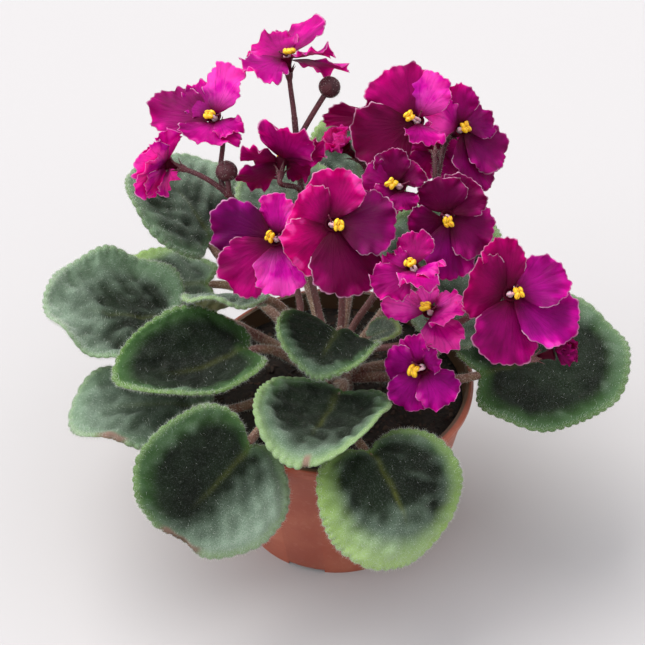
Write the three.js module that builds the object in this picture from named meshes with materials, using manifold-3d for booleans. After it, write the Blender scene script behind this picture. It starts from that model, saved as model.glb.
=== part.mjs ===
// A potted African violet: a squat plastic nursery pot, its soil, a rosette of round hairy leaves on
// fleshy petioles, and five branched stalks with ruffled five-petalled blooms, buds and yellow anthers.
// Millimetres, +Z up, +Y away from the viewer; the origin is the middle of the pot's underside.
import * as THREE from "three";
import { mergeVertices } from "three/addons/utils/BufferGeometryUtils.js";
import Module from "manifold-3d";

const wasm = await Module();
wasm.setup();

// Pot and soil
const POT_HEIGHT = 80;
const RIM_RADIUS = 60;
const BASE_RADIUS = 43;
const POT_WALL = 1.6;
const POT_FLOOR = 3.6;
const LIP_WIDTH = 3.4;
const LIP_HEIGHT = 3;
const LIP_BEVEL = 1;
const POT_SIDES = 36;
const NOTCH_COUNT = 6;
const NOTCH_WIDTH = 17;
const NOTCH_HEIGHT = 2;
const NOTCH_DEPTH = 13;
const NOTCH_TURN = 0.2;
const DRAIN_RADIUS = 3.5;
const SOIL_TOP = 71;
const SOIL_RISE = 1;
const SOIL_BUMP = 1.2;
const GAP = 0.3;

// Crown and petioles
const CROWN_RADIUS = 7.5;
const CROWN_TOP = 88;
const CROWN_BOTTOM = 60;
const PETIOLE_RADIUS = 2.3;
const PETIOLE_SIDES = 5;
const PETIOLE_FOOT = 5;
const PETIOLE_DROP = 8;
const PETIOLE_END_GAP = 0.45;

// Leaf blades
const BLADE_THICKNESS = 1.5;
const TEETH = 16;
const SINUS_SHARE = 0.42;
const LOBE_SHARE = 0.56;
const CORNER_POWER = 2.15;
const TOOTH_DEPTH = 0.014;
const SINUS_ANGLE = 0.3;
const TIP_ANGLE = 0.22;
const TIP_SHARE = 0.04;
const BRIM_START = 0.72;
const BRIM_END = 1.02;

// Flowers
const PETAL_THICKNESS = 0.9;
const PETAL_MIDDLE = 0.55;
const PETAL_FRILLS = 3;
const FRILL_HEIGHT = 1.1;
const PETAL_TWIST = 16;
const PETAL_START = 2.1;
const THROAT_RADIUS = 3.2;
const THROAT_HEIGHT = 1;
const TUBE_LENGTH = 6;
const TUBE_RADIUS = 1.6;
const TUBE_FOOT = 1.2;
const CALYX_LENGTH = 4;
const CALYX_FOOT = 1.3;
const CALYX_CUP = 1.9;
const CALYX_RADIUS = 3.6;
const ANTHER_RADIUS = 1.5;
const ANTHER_STRETCH = 1.7;
const STALK_RADIUS = 1.7;
const PEDICEL_RADIUS = 1.2;
const STALK_RING = 4.5;
const BUD_FLATNESS = 0.9;

const COLOURS = {
  pot: 0x9a4f3c,
  soil: 0x1d1713,
  leaf: 0x3d5a35,
  petiole: 0x6b4a41,
  stalk: 0x5b2a36,
  petal: 0xa8127e,
  anther: 0xf2c318,
};

const plant = new THREE.Group();
const up = new THREE.Vector3(0, 0, 1);
const radians = THREE.MathUtils.degToRad;

// One named piece with a material of its own.
function addPiece(name, geometry, colour, roughness) {
  const material = new THREE.MeshStandardMaterial({ color: colour, roughness, metalness: 0 });
  const mesh = new THREE.Mesh(geometry, material);
  mesh.name = name;
  plant.add(mesh);
}

// A closed geometry as a solid that can be joined to others or cut.
function solidOf(geometry) {
  const bare = geometry.index ? geometry.toNonIndexed() : geometry.clone();
  bare.deleteAttribute("normal");
  bare.deleteAttribute("uv");
  const merged = mergeVertices(bare, 1e-4);
  return new wasm.Manifold(
    new wasm.Mesh({
      numProp: 3,
      vertProperties: new Float32Array(merged.attributes.position.array),
      triVerts: new Uint32Array(merged.index.array),
    }),
  );
}

// A solid back as a geometry.
function geometryOf(solid) {
  const mesh = solid.getMesh();
  const geometry = new THREE.BufferGeometry();
  geometry.setAttribute("position", new THREE.BufferAttribute(mesh.vertProperties, 3));
  geometry.setIndex(new THREE.BufferAttribute(mesh.triVerts, 1));
  return geometry;
}

const joined = (solids) => solids.reduce((all, next) => all.add(next));

// The direction with this azimuth (0 is +X, 90 is +Y) and elevation.
function direction(azimuth, elevation) {
  const a = radians(azimuth);
  const e = radians(elevation);
  return new THREE.Vector3(Math.cos(a) * Math.cos(e), Math.sin(a) * Math.cos(e), Math.sin(e));
}

// Triangles, as vertex numbers, of a disc made of rings of points: the first ring is a single point, and
// each later one has as many points as the ring before it or twice as many.
function discFaces(counts) {
  const faces = [];
  let inner = 0;
  let outer = 1;
  counts.slice(1).forEach((count, ring) => {
    const before = counts[ring];
    for (let k = 0; k < count; k++) {
      const a = outer + k;
      const b = outer + ((k + 1) % count);
      if (before === 1) {
        faces.push([inner, a, b]);
      } else if (before === count) {
        const c = inner + k;
        const d = inner + ((k + 1) % count);
        faces.push([c, a, b], [c, b, d]);
      } else {
        const c = inner + Math.floor((k + 1) / 2) % before;
        faces.push([c, a, b]);
        if (k % 2 === 1) faces.push([inner + (k - 1) / 2, a, c]);
      }
    }
    inner = outer;
    outer += count;
  });
  return faces;
}

// A closed thin sheet; place(x, y) gives a point of its middle surface.
function sheetGeometry(points, counts, place, thickness) {
  const step = 0.05;
  const faces = discFaces(counts);
  const top = [];
  const bottom = [];
  points.forEach(([x, y]) => {
    const middle = place(x, y);
    const across = place(x + step, y).sub(place(x - step, y));
    const along = place(x, y + step).sub(place(x, y - step));
    const normal = across.cross(along).normalize().multiplyScalar(thickness / 2);
    top.push(middle.clone().add(normal));
    bottom.push(middle.clone().sub(normal));
  });
  const corners = [];
  faces.forEach(([a, b, c]) => corners.push(top[a], top[b], top[c], bottom[a], bottom[c], bottom[b]));
  const edge = counts.at(-1);
  const first = points.length - edge;
  for (let k = 0; k < edge; k++) {
    const a = first + k;
    const b = first + ((k + 1) % edge);
    corners.push(top[a], bottom[a], bottom[b], top[a], bottom[b], top[b]);
  }
  return new THREE.BufferGeometry().setFromPoints(corners);
}

// Radii of a rod that narrows evenly, as [share of the length, radius].
function taper(steps, from, to) {
  return Array.from({ length: steps + 1 }, (_, k) => [k / steps, from + ((to - from) * k) / steps]);
}

// A round rod along a curve, closed at both ends; radii lists [share of the length, radius].
function rodGeometry(curve, radii, sides) {
  const chord = curve.getPointAt(1).sub(curve.getPointAt(0)).normalize();
  const upright = Math.abs(chord.z) > 0.8;
  const steady = upright ? new THREE.Vector3(1, 0, 0) : up;
  const rings = radii.map(([share, radius]) => {
    const centre = curve.getPointAt(share);
    const forward = curve.getTangentAt(share);
    const side = new THREE.Vector3().crossVectors(forward, steady).normalize();
    const other = new THREE.Vector3().crossVectors(forward, side);
    return Array.from({ length: sides }, (_, k) => {
      const a = (k * 2 * Math.PI) / sides;
      return centre
        .clone()
        .addScaledVector(side, radius * Math.cos(a))
        .addScaledVector(other, radius * Math.sin(a));
    });
  });
  const corners = [];
  for (let r = 0; r + 1 < rings.length; r++) {
    const [near, far] = [rings[r], rings[r + 1]];
    for (let k = 0; k < sides; k++) {
      const n = (k + 1) % sides;
      corners.push(near[k], near[n], far[n], near[k], far[n], far[k]);
    }
  }
  const start = curve.getPointAt(radii[0][0]);
  const end = curve.getPointAt(radii.at(-1)[0]);
  for (let k = 0; k < sides; k++) {
    const n = (k + 1) % sides;
    corners.push(start, rings[0][n], rings[0][k], end, rings.at(-1)[k], rings.at(-1)[n]);
  }
  return new THREE.BufferGeometry().setFromPoints(corners);
}

// Pot: one moulded shell with a thick lip, a flat floor, and six notches with drain holes at its edge
function buildPot() {
  const outer = (z) => BASE_RADIUS + ((RIM_RADIUS - LIP_BEVEL - BASE_RADIUS) * z) / POT_HEIGHT;
  const profile = [
    [0, 0],
    [outer(0), 0],
    [outer(POT_HEIGHT - LIP_HEIGHT), POT_HEIGHT - LIP_HEIGHT],
    [RIM_RADIUS, POT_HEIGHT - LIP_HEIGHT],
    [RIM_RADIUS, POT_HEIGHT - LIP_BEVEL],
    [RIM_RADIUS - LIP_BEVEL, POT_HEIGHT],
    [RIM_RADIUS - LIP_WIDTH, POT_HEIGHT],
    [outer(POT_HEIGHT - 2 * LIP_HEIGHT) - POT_WALL, POT_HEIGHT - 2 * LIP_HEIGHT],
    [outer(POT_FLOOR) - POT_WALL, POT_FLOOR],
    [0, POT_FLOOR],
  ];
  const shell = new THREE.LatheGeometry(
    profile.map(([r, z]) => new THREE.Vector2(r, z)),
    POT_SIDES,
  ).rotateX(Math.PI / 2);
  let pot = solidOf(shell);
  for (let k = 0; k < NOTCH_COUNT; k++) {
    const turn = ((k + NOTCH_TURN) * 2 * Math.PI) / NOTCH_COUNT;
    const notch = new THREE.BoxGeometry(NOTCH_DEPTH, NOTCH_WIDTH, 2 * NOTCH_HEIGHT)
      .translate(BASE_RADIUS + 2 * GAP - NOTCH_DEPTH / 2, 0, 0)
      .rotateZ(turn);
    const drain = new THREE.CylinderGeometry(DRAIN_RADIUS, DRAIN_RADIUS, 4 * POT_FLOOR, 8)
      .rotateX(Math.PI / 2)
      .translate(BASE_RADIUS - NOTCH_DEPTH / 2 - 1, 0, 0)
      .rotateZ(turn);
    pot = pot.subtract(solidOf(notch)).subtract(solidOf(drain));
  }
  addPiece("pot", geometryOf(pot), COLOURS.pot, 0.55);
}

// Soil: fills the pot with a lumpy top and has a plain hole for the crown
function buildSoil() {
  const inner = (z) =>
    BASE_RADIUS - POT_WALL - GAP + ((RIM_RADIUS - LIP_BEVEL - BASE_RADIUS) * z) / POT_HEIGHT;
  const profile = [
    [0, POT_FLOOR + GAP],
    [inner(POT_FLOOR) - GAP, POT_FLOOR + GAP],
    [inner(SOIL_TOP - 2), SOIL_TOP - 2],
    [inner(SOIL_TOP) * 0.8, SOIL_TOP],
    [inner(SOIL_TOP) * 0.5, SOIL_TOP + SOIL_RISE],
    [0, SOIL_TOP + SOIL_RISE],
  ];
  const body = new THREE.LatheGeometry(
    profile.map(([r, z]) => new THREE.Vector2(r, z)),
    POT_SIDES / 2,
  ).rotateX(Math.PI / 2);
  const position = body.attributes.position;
  for (let i = 0; i < position.count; i++) {
    const [x, y, z] = [position.getX(i), position.getY(i), position.getZ(i)];
    if (z > SOIL_TOP - 1 && Math.hypot(x, y) > 1) {
      position.setZ(i, z + SOIL_BUMP * Math.sin(0.31 * x + 1) * Math.cos(0.27 * y));
    }
  }
  const depth = 2 * (SOIL_TOP - CROWN_BOTTOM);
  const hole = new THREE.CylinderGeometry(CROWN_RADIUS + GAP, CROWN_RADIUS + GAP, depth, 12)
    .rotateX(Math.PI / 2)
    .translate(0, 0, CROWN_BOTTOM - GAP + depth / 2);
  addPiece("soil", geometryOf(solidOf(body).subtract(solidOf(hole))), COLOURS.soil, 0.95);
}

// Leaves. at: where the petiole meets the blade; heading and pitch: where its midrib points there;
// roll: turn about the midrib; droop and cup: how far, in degrees, it bends down along its length and up
// across its width; brim: how far its edge turns down; wave: [height, count round the edge, turn].
const LEAVES = [
  { name: "leaf_front_left", at: [-35, -60, 100], heading: -132, pitch: -24, roll: -58,
    length: 53, width: 72, droop: 26, cup: 14, brim: 3.5, wave: [1.4, 5, -1.4] },
  { name: "leaf_front_small", at: [2, -24, 95], heading: -110, pitch: 13, roll: 3,
    length: 56, width: 61, droop: 0, cup: 47, brim: 2.4, wave: [1.9, 3, -1.5] },
  { name: "leaf_front_right", at: [12, -55, 93], heading: -59, pitch: -4, roll: 2,
    length: 56, width: 64, droop: 85, cup: -5, brim: 1.4, wave: [3, 3, 0.9] },
  { name: "leaf_left", at: [-37, -7, 104], heading: -159, pitch: 0, roll: -5,
    length: 59, width: 51, droop: -6, cup: 44, brim: 0.8, wave: [3.3, 3, -3.1] },
  { name: "leaf_far_left", at: [-72, 25, 92], heading: -178, pitch: 2, roll: 3,
    length: 57, width: 75, droop: -17, cup: 10, brim: -4.3, wave: [2.9, 6, 0] },
  { name: "leaf_low_left", at: [-56, -25, 87], heading: 178, pitch: 2, roll: 1,
    length: 59, width: 52, droop: 16, cup: 9, brim: 0.3, wave: [3.3, 4, -1] },
  { name: "leaf_back_left", at: [-55, 58, 109], heading: 132, pitch: 36, roll: 15,
    length: 49, width: 63, droop: 17, cup: 17, brim: 1.6, wave: [1.4, 5, 0.7] },
  { name: "leaf_behind_left", at: [-57, 54, 86], heading: -176, pitch: 1, roll: -2,
    length: 54, width: 54, droop: 14, cup: 4, brim: 0.7, wave: [1.8, 4, 2.3] },
  { name: "leaf_edge_left", at: [-32, 13, 114], heading: -180, pitch: 8, roll: 44,
    length: 34, width: 34, droop: 10, cup: -30, brim: 0, wave: [1, 4, 0] },
  { name: "leaf_centre_young", at: [1, -8, 115], heading: -115, pitch: 8, roll: -2,
    length: 25, width: 54, droop: 24, cup: 62, brim: 4.6, wave: [3, 3, -1.6] },
  { name: "leaf_inner_young", at: [14, 0, 103], heading: -8, pitch: 35, roll: 0,
    length: 15, width: 17, droop: 20, cup: 60, brim: 1, wave: [0.5, 3, 0] },
  { name: "leaf_right", at: [61, -8, 88], heading: 19, pitch: 3, roll: 13,
    length: 68, width: 72, droop: 5, cup: 0, brim: -0.9, wave: [1.4, 6, 0] },
  { name: "leaf_right_inner", at: [47, 6, 98], heading: 70, pitch: 28, roll: 6,
    length: 36, width: 40, droop: 14, cup: 20, brim: 0, wave: [1, 4, 0] },
  { name: "leaf_back_right", at: [30, 38, 98], heading: 48, pitch: 22, roll: 0,
    length: 54, width: 56, droop: 20, cup: 15, brim: 0, wave: [1.2, 4, 1] },
  { name: "leaf_back", at: [10, 86, 106], heading: 87, pitch: 34, roll: 1,
    length: 50, width: 50, droop: 14, cup: 20, brim: 0, wave: [1, 4, 0] },
  { name: "leaf_back_inner", at: [-18, 62, 108], heading: 101, pitch: 24, roll: -1,
    length: 42, width: 50, droop: 14, cup: 20, brim: 0, wave: [1, 4, 0] },
];

// How far the blade's edge lies from its middle, at an angle from the tip.
function bladeReach(leaf, angle) {
  const toTip = Math.cos(angle) > 0;
  const long = leaf.length * (toTip ? 1 - SINUS_SHARE : LOBE_SHARE);
  const c = Math.abs(Math.cos(angle)) / long;
  const s = Math.abs(Math.sin(angle)) / (leaf.width / 2);
  const oval = (c ** CORNER_POWER + s ** CORNER_POWER) ** (-1 / CORNER_POWER);
  const fromSinus = Math.PI - Math.abs(angle);
  const notch = (1 - SINUS_SHARE / LOBE_SHARE) * Math.exp(-((fromSinus / SINUS_ANGLE) ** 2));
  const tip = TIP_SHARE * Math.exp(-((angle / TIP_ANGLE) ** 2));
  return oval * (1 - notch + tip);
}

// The leaf's own axes: along its midrib, across it, and out of its upper face.
function bladeAxes(leaf) {
  const along = direction(leaf.heading, leaf.pitch);
  const across = new THREE.Vector3().crossVectors(along, up).normalize();
  across.applyAxisAngle(along, radians(leaf.roll));
  return { along, across, out: new THREE.Vector3().crossVectors(across, along) };
}

// An arc instead of a straight run: how far along and how far off a point comes to lie, and its turn.
function bent(distance, degrees, length) {
  const turn = (radians(degrees) * distance) / length;
  if (Math.abs(turn) < 1e-6) return [distance, 0, turn];
  return [(Math.sin(turn) * distance) / turn, ((1 - Math.cos(turn)) * distance) / turn, turn];
}

// A point of the blade's middle surface: x across the midrib, y along it from the petiole, in mm.
function bladePoint(leaf, axes, x, y) {
  const [run, fall, turn] = bent(y, leaf.droop, leaf.length);
  const [side, rise] = bent(x, leaf.cup, leaf.width / 2);
  const fromMiddle = y - SINUS_SHARE * leaf.length;
  const angle = Math.atan2(x, fromMiddle);
  const share = Math.hypot(x, fromMiddle) / bladeReach(leaf, angle);
  const [height, count, phase] = leaf.wave;
  const edge = THREE.MathUtils.smoothstep(share, BRIM_START, BRIM_END);
  const lift = rise - leaf.brim * edge + height * share ** 3 * Math.sin(count * angle + phase);
  return new THREE.Vector3(...leaf.at)
    .addScaledVector(axes.along, run + lift * Math.sin(turn))
    .addScaledVector(axes.out, lift * Math.cos(turn) - fall)
    .addScaledVector(axes.across, side);
}

function buildLeaf(leaf) {
  const axes = bladeAxes(leaf);
  const shares = [0, 0.42, 0.76, 1];
  const counts = [1, TEETH / 2, TEETH, 2 * TEETH];
  const points = [];
  counts.forEach((count, ring) => {
    for (let k = 0; k < count; k++) {
      // From 0 at the tip down to -180 degrees at the petiole, then from 180 back to 0.
      const halfTurns = (2 * k) / count;
      const angle = Math.PI * (halfTurns > 1 ? 2 - halfTurns : -halfTurns);
      const tooth = ring === 3 ? 1 + (k % 2 ? -TOOTH_DEPTH : TOOTH_DEPTH) : 1;
      const reach = shares[ring] * tooth * bladeReach(leaf, angle);
      points.push([reach * Math.sin(angle), SINUS_SHARE * leaf.length + reach * Math.cos(angle)]);
    }
  });
  const geometry = sheetGeometry(points, counts, (x, y) => bladePoint(leaf, axes, x, y), BLADE_THICKNESS);
  addPiece(leaf.name, geometry, COLOURS.leaf, 0.85);
}

// Crown: the short upright stem and the petioles that arch from it to every blade
function petiole(leaf) {
  const axes = bladeAxes(leaf);
  const shortBy = PETIOLE_END_GAP + BLADE_THICKNESS / 2;
  const end = bladePoint(leaf, axes, 0, 0).addScaledVector(axes.along, -shortBy);
  const distance = Math.hypot(end.x, end.y);
  const out = new THREE.Vector3(end.x / distance, end.y / distance, 0);
  const foot = out.clone().multiplyScalar(PETIOLE_FOOT).setZ(CROWN_TOP - PETIOLE_DROP);
  // It leaves the crown at a slant and comes to the blade along the midrib.
  const rise = (end.z - foot.z) * 0.4 + 3;
  const first = foot.clone().addScaledVector(out, distance * 0.35).addScaledVector(up, rise);
  const second = end.clone().addScaledVector(axes.along, -distance * 0.3);
  const curve = new THREE.CubicBezierCurve3(foot, first, second, end);
  return rodGeometry(curve, taper(5, PETIOLE_RADIUS * 1.15, PETIOLE_RADIUS * 0.8), PETIOLE_SIDES);
}

function buildCrown() {
  const upright = new THREE.LineCurve3(
    new THREE.Vector3(0, 0, CROWN_BOTTOM),
    new THREE.Vector3(0, 0, CROWN_TOP),
  );
  const widths = [[0, 0.6], [0.15, 1], [0.9, 1], [1, 0.85]];
  const radii = widths.map(([share, width]) => [share, width * CROWN_RADIUS]);
  const parts = [solidOf(rodGeometry(upright, radii, 12))];
  LEAVES.forEach((leaf) => parts.push(solidOf(petiole(leaf))));
  addPiece("crown", geometryOf(joined(parts)), COLOURS.petiole, 0.8);
}

// Blooms. at: the throat; facing: azimuth and elevation of the way it looks; each petal is
// [angle clockwise from its top, reach, width, lift toward the front in degrees];
// anthers: how far they hang to the right and to the top.
const BLOOMS = [
  { name: "bloom_1", at: [-52, 58, 177], facing: [-138, 70], anthers: [-1.5, -1],
    petals: [[-112, 32, 22, 0], [-80, 21, 16, 5], [-16, 24, 24, 35], [88, 14, 14, -5], [147, 14, 27, 0]] },
  { name: "bloom_2", at: [-72, 51, 158], facing: [145, -5], anthers: [0, 0],
    petals: [[15, 17, 20, 0], [55, 21, 20, 0], [90, 20, 22, 5], [125, 17, 20, 8], [170, 14, 18, 5]] },
  { name: "bloom_3", at: [-21, 75, 196], facing: [105, 68], anthers: [-1, 0],
    petals: [[-152, 33, 27, 15], [-105, 30, 18, -22], [-72, 19, 20, 9], [75, 20, 20, -8],
      [170, 27, 22, 9]] },
  { name: "bloom_4", at: [-23, 42, 166], facing: [84, 12], anthers: [0, 0],
    petals: [[-113, 13, 16, 0], [-55, 22, 13, 0], [-9, 23, 26, 0], [79, 18, 19, 0], [135, 25, 20, 0]] },
  { name: "bloom_5", at: [-25, 5, 154], facing: [-119, 44], anthers: [-2, 0],
    petals: [[-152, 29, 26, 0], [-95, 30, 25, 5], [-9, 19, 20, 20], [57, 11, 16, 0], [152, 24, 22, 0]] },
  { name: "bloom_6", at: [-2, 1, 165], facing: [-85, 51], anthers: [2.5, -1],
    petals: [[-130, 23, 26, 0], [-60, 18, 24, 10], [9, 23, 24, 15], [91, 26, 30, 5], [165, 31, 32, 0]] },
  { name: "bloom_7", at: [34, 53, 179], facing: [-79, 59], anthers: [-3.5, 1.5],
    petals: [[-109, 30, 30, 0], [-76, 40, 12, -10], [-29, 25, 30, 15], [31, 22, 20, 30],
      [174, 17, 18, 30]] },
  { name: "bloom_8", at: [53, 59, 170], facing: [-57, 50], anthers: [1.5, 0],
    petals: [[-176, 28, 22, 0], [-46, 17, 18, 15], [9, 20, 18, 20], [84, 16, 20, 5], [144, 24, 26, 0]] },
  { name: "bloom_9", at: [26, 25, 166], facing: [-100, 53], anthers: [-3, 0],
    petals: [[-145, 13, 16, 0], [-91, 16, 20, 0], [-26, 16, 16, 20], [40, 12, 15, 10], [157, 11, 14, 0]] },
  { name: "bloom_10", at: [46, 18, 155], facing: [-83, 39], anthers: [0, -2],
    petals: [[180, 26, 25, 0], [-116, 17, 22, 0], [-10, 17, 22, 10], [39, 19, 22, 5], [122, 21, 25, 0]] },
  { name: "bloom_11", at: [31, -17, 156], facing: [-117, 78], anthers: [-2, 1],
    petals: [[-147, 19, 18, 0], [-92, 14, 14, 0], [-24, 17, 17, 15], [98, 13, 17, 30], [145, 26, 17, 35]] },
  { name: "bloom_12", at: [71, -16, 142], facing: [-81, 47], anthers: [3, 0],
    petals: [[-167, 29, 30, 0], [-68, 19, 28, 5], [-8, 24, 18, 15], [74, 25, 23, 0], [124, 31, 28, 0]] },
  { name: "bloom_13", at: [35, -31, 115], facing: [-104, 35], anthers: [-3, -1.5],
    petals: [[-165, 19, 19, 0], [-92, 15, 18, 0], [-28, 15, 13, 15], [43, 11, 12, 25], [134, 19, 19, 0]] },
  { name: "bloom_14", at: [39, -9, 126], facing: [-139, 66], anthers: [-2, 0],
    petals: [[-111, 23, 14, 0], [-60, 12, 14, 15], [20, 14, 14, 5], [72, 20, 20, 30], [110, 22, 18, 0]] },
  { name: "bloom_15", at: [44, 73, 149], facing: [84, -24], anthers: [0, 0],
    petals: [[-138, 16, 18, 0], [-71, 16, 18, 0], [6, 12, 14, 0], [77, 12, 14, 0], [148, 14, 18, 0]] },
];

// Half-open blooms: still furled round their middle
const OPENING = [
  { name: "opening_1", at: [89, -26, 118], facing: [0, 20] },
  { name: "opening_2", at: [4, 50, 167], facing: [-176, 50] },
];

// The bloom's own axes: to its right as seen from the front, to its top, and out of its face.
function bloomAxes(bloom) {
  const out = direction(...bloom.facing);
  const right = new THREE.Vector3().crossVectors(up, out).normalize();
  return { right, top: new THREE.Vector3().crossVectors(out, right), out };
}

// A point of a petal's middle surface: s across it and t along it, both from -1 to 1 from its middle.
function petalPoint(bloom, axes, petal, s, t) {
  const [angle, reach, width, lift] = petal;
  const share = Math.hypot(s, t);
  const turn = Math.atan2(s, t);
  // Toward the throat the petal narrows and its frill fades.
  const inward = t < 0;
  const narrow = inward ? 1 - 0.5 * t * t : 1;
  const x = (s * narrow * width) / 2;
  const middle = PETAL_MIDDLE * reach;
  const y = middle + t * (inward ? middle - PETAL_START : reach - middle);
  const height = FRILL_HEIGHT * share ** 4 * (inward ? 0.4 : 1);
  const frill = height * Math.sin(PETAL_FRILLS * turn + angle);
  const rise = radians(lift);
  const roll = radians(PETAL_TWIST);
  const z = x * Math.sin(roll) + frill;
  const along = y * Math.cos(rise) - z * Math.sin(rise);
  const across = x * Math.cos(roll);
  const a = radians(angle);
  return new THREE.Vector3(...bloom.at)
    .addScaledVector(axes.right, along * Math.sin(a) + across * Math.cos(a))
    .addScaledVector(axes.top, along * Math.cos(a) - across * Math.sin(a))
    .addScaledVector(axes.out, y * Math.sin(rise) + z * Math.cos(rise));
}

function petalGeometry(bloom, axes, petal) {
  const counts = [1, 5, 10];
  const points = [];
  counts.forEach((count, ring) => {
    for (let k = 0; k < count; k++) {
      const a = (-2 * Math.PI * k) / count;
      points.push([(ring / 2) * Math.sin(a), (ring / 2) * Math.cos(a)]);
    }
  });
  return sheetGeometry(points, counts, (s, t) => petalPoint(bloom, axes, petal, s, t), PETAL_THICKNESS);
}

// A rod between two distances in front of the throat (negative: behind it).
function axialRod(bloom, axes, from, to, radii, sides) {
  const start = new THREE.Vector3(...bloom.at).addScaledVector(axes.out, from);
  const end = new THREE.Vector3(...bloom.at).addScaledVector(axes.out, to);
  return rodGeometry(new THREE.LineCurve3(start, end), radii, sides);
}

// Bloom: five petals layered round a short tube
function buildBloom(bloom) {
  const axes = bloomAxes(bloom);
  const radii = [[0, TUBE_FOOT], [0.6, TUBE_RADIUS], [1, THROAT_RADIUS]];
  const tube = axialRod(bloom, axes, -TUBE_LENGTH, THROAT_HEIGHT, radii, 6);
  const parts = bloom.petals.map((petal) => solidOf(petalGeometry(bloom, axes, petal)));
  addPiece(bloom.name, geometryOf(joined([solidOf(tube), ...parts])), COLOURS.petal, 0.7);
}

// Half-open bloom: the petals still folded into a blunt cone on their tube
function buildOpening(bloom) {
  const radii = [[0, TUBE_FOOT], [0.3, TUBE_RADIUS], [0.5, 4.2], [0.75, 5], [1, 3]];
  const furled = axialRod(bloom, bloomAxes(bloom), -TUBE_LENGTH, 8, radii, 7);
  addPiece(bloom.name, furled, COLOURS.petal, 0.7);
}

// Anthers: two plump lobes side by side, resting in the throat
function buildAnthers(bloom) {
  const axes = bloomAxes(bloom);
  const [toRight, toTop] = bloom.anthers;
  const height = THROAT_HEIGHT + GAP + ANTHER_RADIUS;
  const lobes = [-1, 1].map((side) => {
    const lobe = new THREE.IcosahedronGeometry(ANTHER_RADIUS, 0).scale(1, ANTHER_STRETCH, 1);
    lobe.applyMatrix4(new THREE.Matrix4().makeBasis(axes.right, axes.top, axes.out));
    const at = new THREE.Vector3(...bloom.at)
      .addScaledVector(axes.right, toRight + side * ANTHER_RADIUS * 0.8)
      .addScaledVector(axes.top, toTop)
      .addScaledVector(axes.out, height);
    return solidOf(lobe.translate(at.x, at.y, at.z));
  });
  addPiece(bloom.name.replace("bloom", "anthers"), geometryOf(joined(lobes)), COLOURS.anther, 0.5);
}

// Flower stalks. foot: azimuth on the crown's top; path: the peduncle's way up; each pedicel leaves the
// peduncle at a share of its length for a bloom; each bud is [share, place, radius].
const STALKS = [
  { name: "stalk_left", foot: 205, path: [[-15, 5, 103], [-16, 14, 113], [-26, 27, 133], [-47, 38, 152]],
    pedicels: [[1, "bloom_1"], [1, "bloom_2"]], buds: [[1, [-47, 44, 159], 5]] },
  { name: "stalk_top", foot: 150, path: [[-7, 12, 104], [-12, 24, 125], [-15, 41, 150], [-18, 60, 176]],
    pedicels: [[0.7, "bloom_4"], [1, "bloom_3"]], buds: [[0.92, [-3, 69, 185], 5]] },
  { name: "stalk_middle", foot: 95, path: [[2, 8, 104], [3, 16, 125], [8, 24, 143]], buds: [],
    pedicels: [[0.8, "bloom_5"], [0.9, "bloom_6"], [1, "bloom_9"], [1, "bloom_7"], [1, "opening_2"]] },
  { name: "stalk_right", foot: 40, path: [[7, 6, 104], [16, 8, 120], [28, 18, 136], [38, 32, 145]],
    buds: [], pedicels: [[0.6, "bloom_11"], [0.9, "bloom_10"], [1, "bloom_8"], [1, "bloom_15"]] },
  { name: "stalk_low", foot: -20, path: [[15, -8, 104], [31, -9, 108], [47, -8, 116], [60, -6, 124]],
    pedicels: [[0.5, "bloom_13"], [0.6, "bloom_14"], [1, "bloom_12"], [1, "opening_1"]], buds: [] },
];

// Calyx: a five-pointed cup behind the bloom's tube
function calyx(bloom, axes) {
  const front = -TUBE_LENGTH - GAP;
  const radii = [[0, CALYX_FOOT], [1, CALYX_CUP]];
  const cup = axialRod(bloom, axes, front - CALYX_LENGTH, front, radii, 10);
  const centre = new THREE.Vector3(...bloom.at).addScaledVector(axes.out, front);
  const position = cup.attributes.position;
  const point = new THREE.Vector3();
  for (let i = 0; i < position.count; i++) {
    const away = point.fromBufferAttribute(position, i).sub(centre);
    const depth = away.dot(axes.out);
    const onMouth = Math.abs(depth) < 0.1 && away.length() > CALYX_CUP / 2;
    const spoke = Math.round(Math.atan2(away.dot(axes.top), away.dot(axes.right)) / (Math.PI / 5));
    // Every other corner of the mouth is pulled out to a point.
    if (!onMouth || spoke % 2) continue;
    away.multiplyScalar(CALYX_RADIUS / CALYX_CUP).add(centre);
    position.setXYZ(i, away.x, away.y, away.z);
  }
  return cup;
}

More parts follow.
